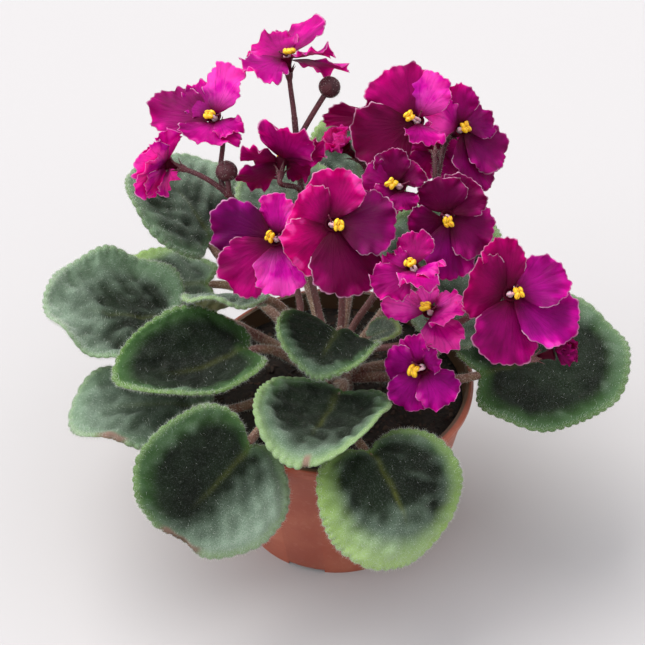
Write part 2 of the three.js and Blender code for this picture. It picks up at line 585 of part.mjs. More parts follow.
// Stalk: the peduncle with its pedicels, calyces and closed buds
function buildStalk(stalk) {
  const foot = direction(stalk.foot, 0).multiplyScalar(STALK_RING).setZ(CROWN_TOP + GAP);
  const above = foot.clone().addScaledVector(up, 5);
  const path = stalk.path.map((point) => new THREE.Vector3(...point));
  const peduncle = new THREE.CatmullRomCurve3([foot, above, ...path]);
  const parts = [solidOf(rodGeometry(peduncle, taper(8, STALK_RADIUS, STALK_RADIUS * 0.8), 5))];
  // A side shoot leaves just short of its place, inside the peduncle, so that the two grow together.
  const rooted = (share) => share * 0.98;
  stalk.pedicels.forEach(([share, name]) => {
    const bloom = [...BLOOMS, ...OPENING].find((one) => one.name === name);
    const axes = bloomAxes(bloom);
    const start = peduncle.getPointAt(rooted(share));
    const end = new THREE.Vector3(...bloom.at)
      .addScaledVector(axes.out, -TUBE_LENGTH - GAP - CALYX_LENGTH + 0.4);
    const distance = start.distanceTo(end);
    const leave = peduncle.getTangentAt(rooted(share)).multiplyScalar(distance * 0.4).add(start);
    const arrive = end.clone().addScaledVector(axes.out, -distance * 0.35);
    const curve = new THREE.CubicBezierCurve3(start, leave, arrive, end);
    parts.push(solidOf(rodGeometry(curve, taper(3, PEDICEL_RADIUS, PEDICEL_RADIUS * 0.9), 5)));
    parts.push(solidOf(calyx(bloom, axes)));
  });
  stalk.buds.forEach(([share, place, radius]) => {
    const start = peduncle.getPointAt(rooted(share));
    const end = new THREE.Vector3(...place);
    const middle = start.clone().lerp(end, 0.5).addScaledVector(up, 1.5);
    const curve = new THREE.QuadraticBezierCurve3(start, middle, end);
    parts.push(solidOf(rodGeometry(curve, taper(3, PEDICEL_RADIUS, PEDICEL_RADIUS), 5)));
    const bud = new THREE.IcosahedronGeometry(radius, 1).scale(1, 1, BUD_FLATNESS);
    parts.push(solidOf(bud.translate(end.x, end.y, end.z)));
  });
  addPiece(stalk.name, geometryOf(joined(parts)), COLOURS.stalk, 0.8);
}

buildPot();
buildSoil();
buildCrown();
LEAVES.forEach(buildLeaf);
STALKS.forEach(buildStalk);
BLOOMS.forEach(buildBloom);
BLOOMS.forEach(buildAnthers);
OPENING.forEach(buildOpening);

export default plant;
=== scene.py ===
import math
import random

import bmesh
import bpy
from mathutils import Matrix, Vector, noise


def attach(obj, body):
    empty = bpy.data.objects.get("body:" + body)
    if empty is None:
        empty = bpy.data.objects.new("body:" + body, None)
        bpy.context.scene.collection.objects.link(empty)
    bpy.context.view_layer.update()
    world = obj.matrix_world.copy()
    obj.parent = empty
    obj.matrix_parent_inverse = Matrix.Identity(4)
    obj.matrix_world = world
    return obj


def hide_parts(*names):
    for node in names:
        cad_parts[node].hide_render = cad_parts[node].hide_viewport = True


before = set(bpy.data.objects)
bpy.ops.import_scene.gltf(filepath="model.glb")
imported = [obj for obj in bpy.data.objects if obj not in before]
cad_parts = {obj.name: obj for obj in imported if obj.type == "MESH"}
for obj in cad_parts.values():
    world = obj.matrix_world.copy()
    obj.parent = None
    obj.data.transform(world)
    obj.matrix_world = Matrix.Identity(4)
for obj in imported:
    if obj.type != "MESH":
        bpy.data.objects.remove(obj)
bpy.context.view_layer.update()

# POT
# A squat 12 cm nursery pot, injection-moulded in one piece from terracotta polypropylene: a tapered wall,
# a thin lip, and a flat floor whose edge is notched over six drain holes. It only stands on its underside.
MM = 0.001
POT_HEIGHT = 80
RIM_RADIUS = 60
BASE_RADIUS = 43
POT_WALL = 1.6
POT_FLOOR = 3.6
LIP_WIDTH = 3.4
LIP_HEIGHT = 3
LIP_BEVEL = 1
NOTCH_COUNT = 6
NOTCH_WIDTH = 17
NOTCH_HEIGHT = 2
NOTCH_DEPTH = 13
NOTCH_TURN = 0.2
NOTCH_OVERRUN = 0.6
DRAIN_RADIUS = 3.5
DRAIN_INSET = 1
MOULD_RADIUS = 0.35
POT_STEPS = 120
SHARP_EDGE = math.radians(35)


def srgb(code):
    """A hex colour such as "9a4f3c" as the linear red, green, blue and alpha of a shader socket."""
    parts = [int(code[i:i + 2], 16) / 255 for i in (0, 2, 4)]
    return [p / 12.92 if p <= 0.04045 else ((p + 0.055) / 1.055) ** 2.4 for p in parts] + [1.0]


def add_node(tree, kind, feeds=None, **settings):
    """Adds a node; feeds gives each named input its value, the socket that drives it, or the node whose
    first output does."""
    node = tree.nodes.new(kind)
    for name, value in settings.items():
        setattr(node, name, value)
    for name, source in (feeds or {}).items():
        if isinstance(source, bpy.types.Node):
            source = source.outputs[0]
        if isinstance(source, bpy.types.NodeSocket):
            tree.links.new(source, node.inputs[name])
        else:
            node.inputs[name].default_value = source
    return node


def new_finish(name):
    """An empty node material, its tree, and the place on its piece, in metres, for its patterns."""
    finish = bpy.data.materials.new(name)
    finish.use_nodes = True
    tree = finish.node_tree
    tree.nodes.clear()
    return finish, tree, add_node(tree, "ShaderNodeTexCoord").outputs["Object"]


def as_object(name, bm, finish, sharp=math.pi):
    """Turns a bmesh in millimetres into an object in metres, smooth but for edges sharper than given."""
    bmesh.ops.scale(bm, vec=(MM, MM, MM), verts=bm.verts)
    for face in bm.faces:
        face.smooth = True
    for edge in bm.edges:
        edge.smooth = len(edge.link_faces) == 2 and edge.calc_face_angle() < sharp
    mesh = bpy.data.meshes.new(name)
    bm.to_mesh(mesh)
    bm.free()
    mesh.materials.append(finish)
    piece = bpy.data.objects.new(name, mesh)
    bpy.context.scene.collection.objects.link(piece)
    return piece


def wall_radius(z):
    """The outer radius of the pot's tapered wall at a height."""
    return BASE_RADIUS + (RIM_RADIUS - LIP_BEVEL - BASE_RADIUS) * z / POT_HEIGHT


def lathe(bm, profile, steps):
    """Spins a line of (radius, height) points round the pot's axis and closes the seam and the poles. The
    spin gives its faces another order each run, so they are sorted by two opposite corners."""
    line = [bm.verts.new((radius, 0, z)) for radius, z in profile]
    edges = [bm.edges.new(pair) for pair in zip(line, line[1:])]
    bmesh.ops.spin(bm, geom=line + edges, axis=(0, 0, 1), angle=2 * math.pi, steps=steps, use_merge=True)
    bmesh.ops.remove_doubles(bm, verts=bm.verts, dist=0.001)
    bmesh.ops.recalc_face_normals(bm, faces=bm.faces)
    bm.verts.index_update()
    count = len(bm.verts)
    bm.faces.sort(key=lambda face: face.verts[0].index + face.verts[2].index / count)


# Moulded polypropylene, terracotta brown: matte, with an orange-peel grain of 0.6 mm, paler patches of 4 mm
# and clouds of 25 mm. Its inside is a dark olive green, which begins within the wall's thickness, so that
# it shows on the inner face alone.
DARK_INSIDE_START = 0.6
DARK_INSIDE_FULL = 1.3
pot_plastic, tree, place = new_finish("terracotta_polypropylene")
cloud = add_node(tree, "ShaderNodeTexNoise", {"Vector": place, "Scale": 40, "Detail": 5, "Roughness": 0.6})
pale_patch_noise = add_node(tree, "ShaderNodeTexNoise", {"Vector": place, "Scale": 260, "Detail": 4, "Roughness": 0.7})
grain = add_node(tree, "ShaderNodeTexNoise", {"Vector": place, "Scale": 1600, "Detail": 2})
body = add_node(tree, "ShaderNodeMapRange", {"Value": cloud, "From Min": 0.38, "From Max": 0.68})
body = add_node(tree, "ShaderNodeMixRGB", {"Fac": body, "Color1": srgb("954530"), "Color2": srgb("a65c44")})
marks = add_node(tree, "ShaderNodeMapRange",
                 {"Value": pale_patch_noise, "From Min": 0.55, "From Max": 0.8, "To Max": 0.35})
body = add_node(tree, "ShaderNodeMixRGB", {"Fac": marks, "Color1": body, "Color2": srgb("c08a76")})
spot = add_node(tree, "ShaderNodeSeparateXYZ", {"Vector": place})
sideways = add_node(tree, "ShaderNodeCombineXYZ", {"X": spot.outputs["X"], "Y": spot.outputs["Y"]})
reach = add_node(tree, "ShaderNodeVectorMath", {0: sideways}, operation="LENGTH")
taper = (wall_radius(POT_HEIGHT) - BASE_RADIUS) / POT_HEIGHT
slope = add_node(tree, "ShaderNodeMath", {0: spot.outputs["Z"], 1: taper}, operation="MULTIPLY")
inside = add_node(tree, "ShaderNodeMath", {0: reach.outputs["Value"], 1: slope}, operation="SUBTRACT")
inside = add_node(tree, "ShaderNodeMapRange",
                  {"Value": inside, "From Min": (BASE_RADIUS - DARK_INSIDE_START) * MM,
                   "From Max": (BASE_RADIUS - DARK_INSIDE_FULL) * MM, "To Max": 0.85})
body = add_node(tree, "ShaderNodeMixRGB", {"Fac": inside, "Color1": body, "Color2": srgb("3a3a26")})
bump = add_node(tree, "ShaderNodeBump", {"Height": grain, "Strength": 0.25, "Distance": 0.0002})
skin = add_node(tree, "ShaderNodeBsdfPrincipled",
                {"Base Color": body, "Roughness": 0.48, "IOR": 1.49, "Subsurface Weight": 0.08,
                 "Subsurface Scale": 0.002, "Normal": bump})
add_node(tree, "ShaderNodeOutputMaterial", {"Surface": skin})

bm = bmesh.new()
lathe(bm, [
    (0, 0), (wall_radius(0), 0),
    (wall_radius(POT_HEIGHT - LIP_HEIGHT), POT_HEIGHT - LIP_HEIGHT),
    (RIM_RADIUS, POT_HEIGHT - LIP_HEIGHT), (RIM_RADIUS, POT_HEIGHT - LIP_BEVEL),
    (RIM_RADIUS - LIP_BEVEL, POT_HEIGHT), (RIM_RADIUS - LIP_WIDTH, POT_HEIGHT),
    (wall_radius(POT_HEIGHT - 2 * LIP_HEIGHT) - POT_WALL, POT_HEIGHT - 2 * LIP_HEIGHT),
    (wall_radius(POT_FLOOR) - POT_WALL, POT_FLOOR), (0, POT_FLOOR)], POT_STEPS)
pot = as_object("pot_shell", bm, pot_plastic, SHARP_EDGE)
cutter_bm = bmesh.new()
for k in range(NOTCH_COUNT):
    turn = Matrix.Rotation((k + NOTCH_TURN) * 2 * math.pi / NOTCH_COUNT, 4, "Z")
    middle = Matrix.Translation((BASE_RADIUS + NOTCH_OVERRUN - NOTCH_DEPTH / 2, 0, 0))
    size = Matrix.Diagonal((NOTCH_DEPTH, NOTCH_WIDTH, 2 * NOTCH_HEIGHT, 1))
    bmesh.ops.create_cube(cutter_bm, size=1, matrix=turn @ middle @ size)
    middle = Matrix.Translation((BASE_RADIUS - NOTCH_DEPTH / 2 - DRAIN_INSET, 0, 0))
    bmesh.ops.create_cone(cutter_bm, cap_ends=True, segments=20, radius1=DRAIN_RADIUS, radius2=DRAIN_RADIUS,
                          depth=4 * POT_FLOOR, matrix=turn @ middle)
cutter = as_object("pot_cutter", cutter_bm, pot_plastic)
cut = pot.modifiers.new("notches", "BOOLEAN")
cut.operation = "DIFFERENCE"
cut.solver = "EXACT"
cut.use_self = True
cut.object = cutter
rounding = pot.modifiers.new("mould_radius", "BEVEL")
rounding.width = MOULD_RADIUS * MM
rounding.segments = 2
rounding.limit_method = "ANGLE"
rounding.angle_limit = SHARP_EDGE


def settled(piece):
    """Makes a piece's modifiers part of its mesh."""
    depsgraph = bpy.context.evaluated_depsgraph_get()
    mesh = bpy.data.meshes.new_from_object(piece.evaluated_get(depsgraph), depsgraph=depsgraph)
    piece.modifiers.clear()
    piece.data = mesh
    return piece


settled(pot)
bpy.data.objects.remove(cutter)
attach(pot, "root")
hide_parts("pot")

# SOIL
# Dark peat-based potting mix, pressed into the pot to just under the lip. Its top is heaped a little toward
# the middle, where the crown stands, and it is lumpy and crumbly.
SOIL_TOP = 71
SOIL_RISE = 1
SOIL_BUMP = 1.2
SOIL_GAP = 0.3
SOIL_RINGS = 24
SOIL_STEPS = 96
CRUMBS = [(0.35, 1.1), (1.1, 0.6)]

# Damp peat: dull and near black, with paler brown fibres in crumbs of about 2 mm.
peat, tree, place = new_finish("damp_peat")
crumb = add_node(tree, "ShaderNodeTexNoise", {"Vector": place, "Scale": 420, "Detail": 6, "Roughness": 0.75})
patch = add_node(tree, "ShaderNodeMapRange", {"Value": crumb, "From Min": 0.35, "From Max": 0.75})
shade = add_node(tree, "ShaderNodeMixRGB", {"Fac": patch, "Color1": srgb("0e0b08"), "Color2": srgb("372a20")})
bump = add_node(tree, "ShaderNodeBump", {"Height": crumb, "Strength": 0.9, "Distance": 0.0015})
skin = add_node(tree, "ShaderNodeBsdfPrincipled", {"Base Color": shade, "Roughness": 0.95, "Normal": bump})
add_node(tree, "ShaderNodeOutputMaterial", {"Surface": skin})

inner = POT_WALL + SOIL_GAP
top_radius = wall_radius(SOIL_TOP) - inner
profile = [(0, POT_FLOOR + SOIL_GAP), (wall_radius(POT_FLOOR) - inner - SOIL_GAP, POT_FLOOR + SOIL_GAP),
           (wall_radius(SOIL_TOP - 2) - inner, SOIL_TOP - 2)]
for ring in range(SOIL_RINGS + 1):
    rise = SOIL_RISE * min(1, 2 * ring / SOIL_RINGS)
    profile.append((top_radius * (1 - ring / SOIL_RINGS), SOIL_TOP + rise))
bm = bmesh.new()
lathe(bm, profile, SOIL_STEPS)
for vert in bm.verts:
    if vert.co.z > SOIL_TOP - 1:
        x, y, z = vert.co
        heap = SOIL_BUMP * math.sin(0.31 * x + 1) * math.cos(0.27 * y)
        crumbs = sum(noise.noise(vert.co * fineness) * size for fineness, size in CRUMBS)
        vert.co.z = z + (heap + crumbs) * min(1, (top_radius - math.hypot(x, y)) / 4 + 0.3)
soil = as_object("potting_mix", bm, peat)
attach(soil, "root")
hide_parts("soil")

# BARK CHIPS
# Crumbs and chips of composted bark, 2 to 6 mm long, that came loose as the mix was filled in. They lie
# scattered over its top, half sunk in it, and none lies on the pot.
CHIPS_PER_CM2 = 8
CHIP_SHAPE = (1.3, 0.8, 0.55)
CHIP_REACH = 54.5
CHIP_DROP = 1.5
CHIP_SHAPE_SEED = 4
CHIP_PLACE_SEED = 7

# Composted bark: a dull brown, mottled darker every 7 mm or so.
bark, tree, place = new_finish("bark_chip")
mottle = add_node(tree, "ShaderNodeTexNoise", {"Vector": place, "Scale": 150, "Detail": 3})
patch = add_node(tree, "ShaderNodeMapRange", {"Value": mottle, "From Min": 0.4, "From Max": 0.7})
shade = add_node(tree, "ShaderNodeMixRGB", {"Fac": patch, "Color1": srgb("1a120d"), "Color2": srgb("4b3829")})
skin = add_node(tree, "ShaderNodeBsdfPrincipled", {"Base Color": shade, "Roughness": 0.9})
add_node(tree, "ShaderNodeOutputMaterial", {"Surface": skin})


def scatter(name, host, unit, per_cm2, seed, lean, size, share="", long_axis=False):
    """Places copies of a small unit all over a host piece, standing on its surface, as one real mesh.
    lean is the most that they tilt, in radians, and size the least and most scale; share names an attribute
    of the host that thins them out; long_axis varies their length alone."""
    tree = bpy.data.node_groups.new(name, "GeometryNodeTree")
    tree.interface.new_socket("Geometry", in_out="OUTPUT", socket_type="NodeSocketGeometry")
    ground = add_node(tree, "GeometryNodeObjectInfo", {"Object": host}, transform_space="RELATIVE")
    copies = add_node(tree, "GeometryNodeObjectInfo", {"Object": unit}, transform_space="RELATIVE")
    per_m2 = per_cm2 * 1e4
    thinning = 1.0
    if share:
        thinning = add_node(tree, "GeometryNodeInputNamedAttribute", {"Name": share}, data_type="FLOAT")
        thinning = thinning.outputs["Attribute"]
    density = add_node(tree, "ShaderNodeMath", {0: thinning, 1: per_m2}, operation="MULTIPLY")
    points = add_node(tree, "GeometryNodeDistributePointsOnFaces",
                      {"Mesh": ground.outputs["Geometry"], "Density": density, "Seed": seed})
    tilt = add_node(tree, "FunctionNodeRandomValue",
                    {0: (-lean, -lean, -math.pi), 1: (lean, lean, math.pi), "Seed": seed + 1},
                    data_type="FLOAT_VECTOR")
    turned = add_node(tree, "FunctionNodeRotateRotation",
                      {"Rotation": points.outputs["Rotation"], "Rotate By": tilt}, rotation_space="LOCAL")
    smallest, largest = size
    scale = add_node(tree, "FunctionNodeRandomValue",
                     {2: smallest, 3: largest, "Seed": seed + 2}, data_type="FLOAT")
    amount = scale.outputs[1]
    if long_axis:
        amount = add_node(tree, "ShaderNodeCombineXYZ", {"X": 1.0, "Y": 1.0, "Z": amount})
    placed = add_node(tree, "GeometryNodeInstanceOnPoints",
                      {"Points": points, "Instance": copies.outputs["Geometry"], "Rotation": turned,
                       "Scale": amount})
    real = add_node(tree, "GeometryNodeRealizeInstances", {"Geometry": placed})
    add_node(tree, "NodeGroupOutput", {"Geometry": real})
    piece = bpy.data.objects.new(name, bpy.data.meshes.new(name))
    bpy.context.scene.collection.objects.link(piece)
    piece.modifiers.new(name, "NODES").node_group = tree
    return settled(piece)


bm = bmesh.new()
bmesh.ops.create_icosphere(bm, subdivisions=1, radius=1.0)
bmesh.ops.scale(bm, vec=CHIP_SHAPE, verts=bm.verts)
rough = random.Random(CHIP_SHAPE_SEED)
for vert in bm.verts:
    vert.co *= rough.uniform(0.75, 1.2)
chip = as_object("bark_chip", bm, bark, math.radians(30))
chips = scatter("bark_chips", soil, chip, CHIPS_PER_CM2, CHIP_PLACE_SEED, lean=0.6, size=(0.4, 1.6))
bm = bmesh.new()
bm.from_mesh(chips.data)
stray = [v for v in bm.verts
         if v.co.z < (SOIL_TOP - CHIP_DROP) * MM or math.hypot(v.co.x, v.co.y) > CHIP_REACH * MM]
bmesh.ops.delete(bm, geom=list({f for v in stray for f in v.link_faces}), context="FACES")
loose = [v for v in bm.verts if any(e.is_boundary for e in v.link_edges)]
while loose:
    bmesh.ops.delete(bm, geom=loose, context="VERTS")
    loose = [v for v in bm.verts if not v.link_faces or any(e.is_boundary for e in v.link_edges)]
bm.to_mesh(chips.data)
bm.free()
bpy.data.objects.remove(chip)
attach(chips, "root")

# LEAVES
# Sixteen living blades of a violet's rosette: fleshy, round to heart-shaped, with a scalloped margin,
# quilted between the veins, and covered all over with short white hairs. Each grows on its own petiole.
BLADE_THICKNESS = 1.5
BLADE_FACES_PER_MM = 0.55
SINUS_SHARE = 0.42
LOBE_SHARE = 0.56
CORNER_POWER = 2.15
SINUS_ANGLE = 0.3
TIP_ANGLE = 0.22
TIP_SHARE = 0.04
BRIM_START = 0.72
BRIM_END = 1.02
SCALLOP_LENGTH = 3.9
SCALLOP_DEPTH = 1.1
BEAD_HEIGHT = 0.7
VEIN_SPACING = 9.0
QUILT_HEIGHT = 0.7
PUCKER_HEIGHT = 1.7
PUCKER_FINENESS = 0.17
SWAY_HEIGHT = 2.4
SWAY_FINENESS = 0.06
# How much painted silver sheen, standing for light caught by the hairs, a blade gets: over its outer third,
# along its very edge, as painted light and shade on its quilts, and as painted light here and there.
MARGIN_SHEEN = 0.26
EDGE_SHEEN = 0.12
QUILT_LIGHT_AND_SHADE = 0.1
PATCHY_LIGHT = 0.13
# How thick the hairs stand: everywhere, more where the blade has painted sheen, and most along the edge.
FACE_HAIRS = 0.05
SHEEN_HAIRS = 0.45
EDGE_HAIRS = 4.0
LEAF_MARKS = ("rim", "midrib", "vein", "warm", "upper", "painted_sheen", "dry")

# at: where the petiole meets the blade; turn: heading, pitch and roll of the midrib there; size: length and
# width; droop and cup: how far it bends along and across, in degrees; brim: how far the edge turns down;
# wave: [height, count round the edge, turn]; warm: how yellow-green the margin is, painted stronger toward
# the lit side; painted_sheen: how much painted silver sheen, standing for light caught by the hairs, the
# blade has, less where it lies in painted shade; lit: [angle, amount] of more painted sheen on the side
# where the light falls; bowl: how far the middle sinks; dry: [angle, half width, depth] of a withered
# stretch of margin.
LEAVES = [
    dict(name="leaf_front_left", at=(-35, -60, 100), turn=(-132, -24, -58), size=(53, 72),
         droop=26, cup=14, brim=3.5, wave=(1.4, 5, -1.4), warm=0.35, painted_sheen=-0.15, lit=(-1.35, 1.4),
         dry=(-0.3, 0.26, 4.6)),
    dict(name="leaf_front_small", at=(2, -24, 95), turn=(-110, 13, 3), size=(56, 61),
         droop=0, cup=47, brim=2.4, wave=(1.9, 3, -1.5), warm=0.35, painted_sheen=-0.1, lit=(0.2, 0.45), bowl=2,
         dry=(-0.13, 0.05, 1.6)),
    dict(name="leaf_front_right", at=(12, -55, 93), turn=(-59, -4, 2), size=(56, 64),
         droop=85, cup=-5, brim=1.4, wave=(3, 3, 0.9), warm=1.0, painted_sheen=-0.02, lit=(0.5, 0.95)),
    dict(name="leaf_left", at=(-37, -7, 104), turn=(-159, 0, -5), size=(59, 51),
         droop=-6, cup=44, brim=2.4, wave=(3.3, 3, -3.1), warm=0.2, painted_sheen=-0.3, lit=(-1.2, 0.25), bowl=6),
    dict(name="leaf_far_left", at=(-72, 25, 92), turn=(-178, 2, 3), size=(57, 75),
         droop=-17, cup=10, brim=-4.3, wave=(2.9, 6, 0), warm=0.1, painted_sheen=0.06, lit=(0, 0.65)),
    dict(name="leaf_low_left", at=(-56, -25, 87), turn=(178, 2, 1), size=(59, 52),
         droop=16, cup=9, brim=0.3, wave=(3.3, 4, -1), warm=0.15, painted_sheen=0.15, lit=(0.2, 0.3),
         dry=(-1.1, 0.2, 1.6)),
    dict(name="leaf_back_left", at=(-55, 58, 109), turn=(132, 36, 15), size=(49, 63),
         droop=17, cup=17, brim=1.6, wave=(1.4, 5, 0.7), warm=0.15, painted_sheen=0.12, lit=(1, 0.35)),
    dict(name="leaf_behind_left", at=(-57, 54, 86), turn=(-176, 1, -2), size=(54, 54),
         droop=14, cup=4, brim=0.7, wave=(1.8, 4, 2.3), warm=0.9, painted_sheen=0.25, lit=(0, 0)),
    dict(name="leaf_edge_left", at=(-32, 13, 114), turn=(-180, 8, 44), size=(34, 34),
         droop=10, cup=-30, brim=0, wave=(1, 4, 0), warm=0.4, painted_sheen=0.3, lit=(0, 0)),
    dict(name="leaf_centre_young", at=(1, -8, 115), turn=(-115, 8, -2), size=(25, 54),
         droop=24, cup=62, brim=4.6, wave=(3, 3, -1.6), warm=0.3, painted_sheen=-0.2, lit=(0, 0.4), bowl=2),
    dict(name="leaf_inner_young", at=(14, 0, 103), turn=(-8, 35, 0), size=(15, 17),
         droop=20, cup=60, brim=1, wave=(0.5, 3, 0), warm=0.7, painted_sheen=0.3, lit=(0, 0)),
    dict(name="leaf_right", at=(61, -8, 88), turn=(19, 3, 13), size=(68, 72),
         droop=5, cup=0, brim=-0.9, wave=(1.4, 6, 0), warm=0.15, painted_sheen=-0.2, lit=(-0.8, 0.35)),
    dict(name="leaf_right_inner", at=(47, 6, 98), turn=(70, 28, 6), size=(36, 40),
         droop=14, cup=20, brim=0, wave=(1, 4, 0), warm=0.2, painted_sheen=0.2, lit=(0, 0)),
    dict(name="leaf_back_right", at=(30, 38, 98), turn=(48, 22, 0), size=(54, 56),
         droop=20, cup=15, brim=0, wave=(1.2, 4, 1), warm=0.4, painted_sheen=0.1, lit=(0, 0)),
    dict(name="leaf_back", at=(10, 86, 106), turn=(87, 34, 1), size=(50, 50),
         droop=14, cup=20, brim=0, wave=(1, 4, 0), warm=0.6, painted_sheen=0.2, lit=(0, 0)),
    dict(name="leaf_back_inner", at=(-18, 62, 108), turn=(101, 24, -1), size=(42, 50),
         droop=14, cup=20, brim=0, wave=(1, 4, 0), warm=0.3, painted_sheen=0.2, lit=(0, 0)),
]


def direction(azimuth, elevation):
    """The direction with this azimuth (0 is +X, 90 is +Y) and elevation, in degrees."""
    a, e = math.radians(azimuth), math.radians(elevation)
    return Vector((math.cos(a) * math.cos(e), math.sin(a) * math.cos(e), math.sin(e)))


def smooth(value, low, high):
    """0 up to low, 1 from high on, and an eased rise between."""
    share = min(1.0, max(0.0, (value - low) / (high - low)))
    return share * share * (3 - 2 * share)


def blade_reach(leaf, angle):
    """How far the blade's edge lies from its middle, at an angle from the tip."""
    length, width = leaf["size"]
    long = length * (1 - SINUS_SHARE if math.cos(angle) > 0 else LOBE_SHARE)
    c, s = abs(math.cos(angle)) / long, abs(math.sin(angle)) / (width / 2)
    oval = (c ** CORNER_POWER + s ** CORNER_POWER) ** (-1 / CORNER_POWER)
    from_sinus = math.pi - abs(angle)
    notch = (1 - SINUS_SHARE / LOBE_SHARE) * math.exp(-((from_sinus / SINUS_ANGLE) ** 2))
    tip = TIP_SHARE * math.exp(-((angle / TIP_ANGLE) ** 2))
    return oval * (1 - notch + tip)


def blade_axes(leaf):
    """Along the midrib, across it and out of the upper face, where the petiole meets the blade."""
    heading, pitch, roll = leaf["turn"]
    along = direction(heading, pitch)
    across = along.cross(Vector((0, 0, 1))).normalized()
    across.rotate(Matrix.Rotation(math.radians(roll), 3, along))
    return along, across, across.cross(along)


def bent(distance, degrees, length):
    """An arc instead of a straight run: how far along and how far off a point comes to lie, and its turn."""
    turn = math.radians(degrees) * distance / length
    if abs(turn) < 1e-6:
        return distance, 0.0, turn
    return math.sin(turn) * distance / turn, (1 - math.cos(turn)) * distance / turn, turn


def blade_point(leaf, axes, x, y):
    """A point of the blade's smooth middle surface: x across the midrib, y along it from the petiole."""
    along, across, out = axes
    length, width = leaf["size"]
    run, fall, turn = bent(y, leaf["droop"], length)
    side, rise, _ = bent(x, leaf["cup"], width / 2)
    from_middle = y - SINUS_SHARE * length
    angle = math.atan2(x, from_middle)
    share = math.hypot(x, from_middle) / blade_reach(leaf, angle)
    height, count, phase = leaf["wave"]
    edge = smooth(share, BRIM_START, BRIM_END)
    lift = rise - leaf["brim"] * edge + height * share ** 3 * math.sin(count * angle + phase)
    lift += noise.noise(Vector((x, y, length)) * SWAY_FINENESS) * SWAY_HEIGHT * smooth(share, 0.2, 1)
    lift -= leaf.get("bowl", 0) * (1 - min(1, share) ** 2) ** 2
    return (Vector(leaf["at"]) + along * (run + lift * math.sin(turn))
            + out * (lift * math.cos(turn) - fall) + across * side)


def vein_marks(leaf, x, y, share):
    """How near a point is to the midrib and to a side vein, each from 0 to 1, and the side veins' phase."""
    length = leaf["size"][0]
    midrib = math.exp(-((x / (1.5 - 0.9 * max(0, y) / length)) ** 2)) * (1 - smooth(y / length, 0.3, 0.75))
    bow = 0.55 * abs(x) + 0.004 * x * x
    wander = noise.noise(Vector((x, y, length)) * 0.05) * 2.0
    phase = (y - bow + wander) / (VEIN_SPACING * length / 56)
    off = abs(phase - round(phase)) * VEIN_SPACING
    side = math.exp(-((off / 1.2) ** 2)) * (1 - smooth(share, 0.7, 0.95)) * smooth(abs(x), 0.5, 4)
    return midrib, side, phase


def disc_points(bm, segments, fine_rim=False):
    """A round patch of near-square faces inside a circle of radius 1, its outline halved finer if asked."""
    verts = bmesh.ops.create_grid(bm, x_segments=segments, y_segments=segments, size=1)["verts"]
    if fine_rim:
        outline = [edge for vert in verts for edge in vert.link_edges if edge.is_boundary]
        for edge in dict.fromkeys(outline):
            verts.append(bmesh.utils.edge_split(edge, edge.verts[0], 0.5)[1])
    for vert in verts:
        x, y, _ = vert.co
        vert.co = Vector((x * math.sqrt(1 - y * y / 2), y * math.sqrt(1 - x * x / 2), 0))
    return verts


# Living violet leaf: a matte green skin, near black toward the middle partly as painted shade. Where the
# hairs catch the light at a slant it shines silver, and much of that silver is painted sheen in its colour.
# It lets some yellow-green light through and pales to a yellow-green margin and midrib. It is blotched every
# 18 mm or so and pebbled every 3 mm.
leaf_tissue, tree, place = new_finish("velvety_leaf")
blotch = add_node(tree, "ShaderNodeTexNoise", {"Vector": place, "Scale": 55, "Detail": 3, "Roughness": 0.55})
# Hair bases stand about 0.5 mm apart, which gives the eye a fine silver grain.
fleck = add_node(tree, "ShaderNodeTexNoise", {"Vector": place, "Scale": 2000, "Detail": 3, "Roughness": 0.75})
pillow = add_node(tree, "ShaderNodeTexVoronoi",
                  {"Vector": place, "Scale": 300, "Smoothness": 0.8}, feature="SMOOTH_F1")
rim, midrib, vein, warm, upper, painted_sheen, dry = [
    add_node(tree, "ShaderNodeAttribute", attribute_name=mark).outputs["Fac"] for mark in LEAF_MARKS]
deep = add_node(tree, "ShaderNodeMapRange", {"Value": blotch, "From Min": 0.35, "From Max": 0.68})
outer = add_node(tree, "ShaderNodeMapRange",
                 {"Value": rim, "From Min": 0.68, "To Max": 0.85}, interpolation_type="SMOOTHSTEP")
lime_start = add_node(tree, "ShaderNodeMapRange", {"Value": warm, "To Min": 0.96, "To Max": 0.46})
lime = add_node(tree, "ShaderNodeMapRange",
                {"Value": rim, "From Min": lime_start}, interpolation_type="SMOOTHSTEP")
strong = add_node(tree, "ShaderNodeMapRange", {"Value": warm, "To Min": 0.16, "To Max": 0.95})
lime = add_node(tree, "ShaderNodeMath", {0: lime, 1: strong}, operation="MULTIPLY")
yellow = add_node(tree, "ShaderNodeMapRange", {"Value": warm, "To Min": 0.08, "To Max": 0.5})
yellow = add_node(tree, "ShaderNodeMath", {0: midrib, 1: yellow}, operation="MULTIPLY")
# The painted glints of the hair grain grow with the painted sheen.
least = add_node(tree, "ShaderNodeMapRange", {"Value": painted_sheen, "To Min": 0.53, "To Max": 0.4})
most = add_node(tree, "ShaderNodeMapRange", {"Value": painted_sheen, "To Min": 0.7, "To Max": 0.6})
glint_share = add_node(tree, "ShaderNodeMapRange", {"Value": painted_sheen, "To Min": 0.17, "To Max": 0.62})
light = add_node(tree, "ShaderNodeMapRange",
                 {"Value": fleck, "From Min": least, "From Max": most, "To Max": glint_share})
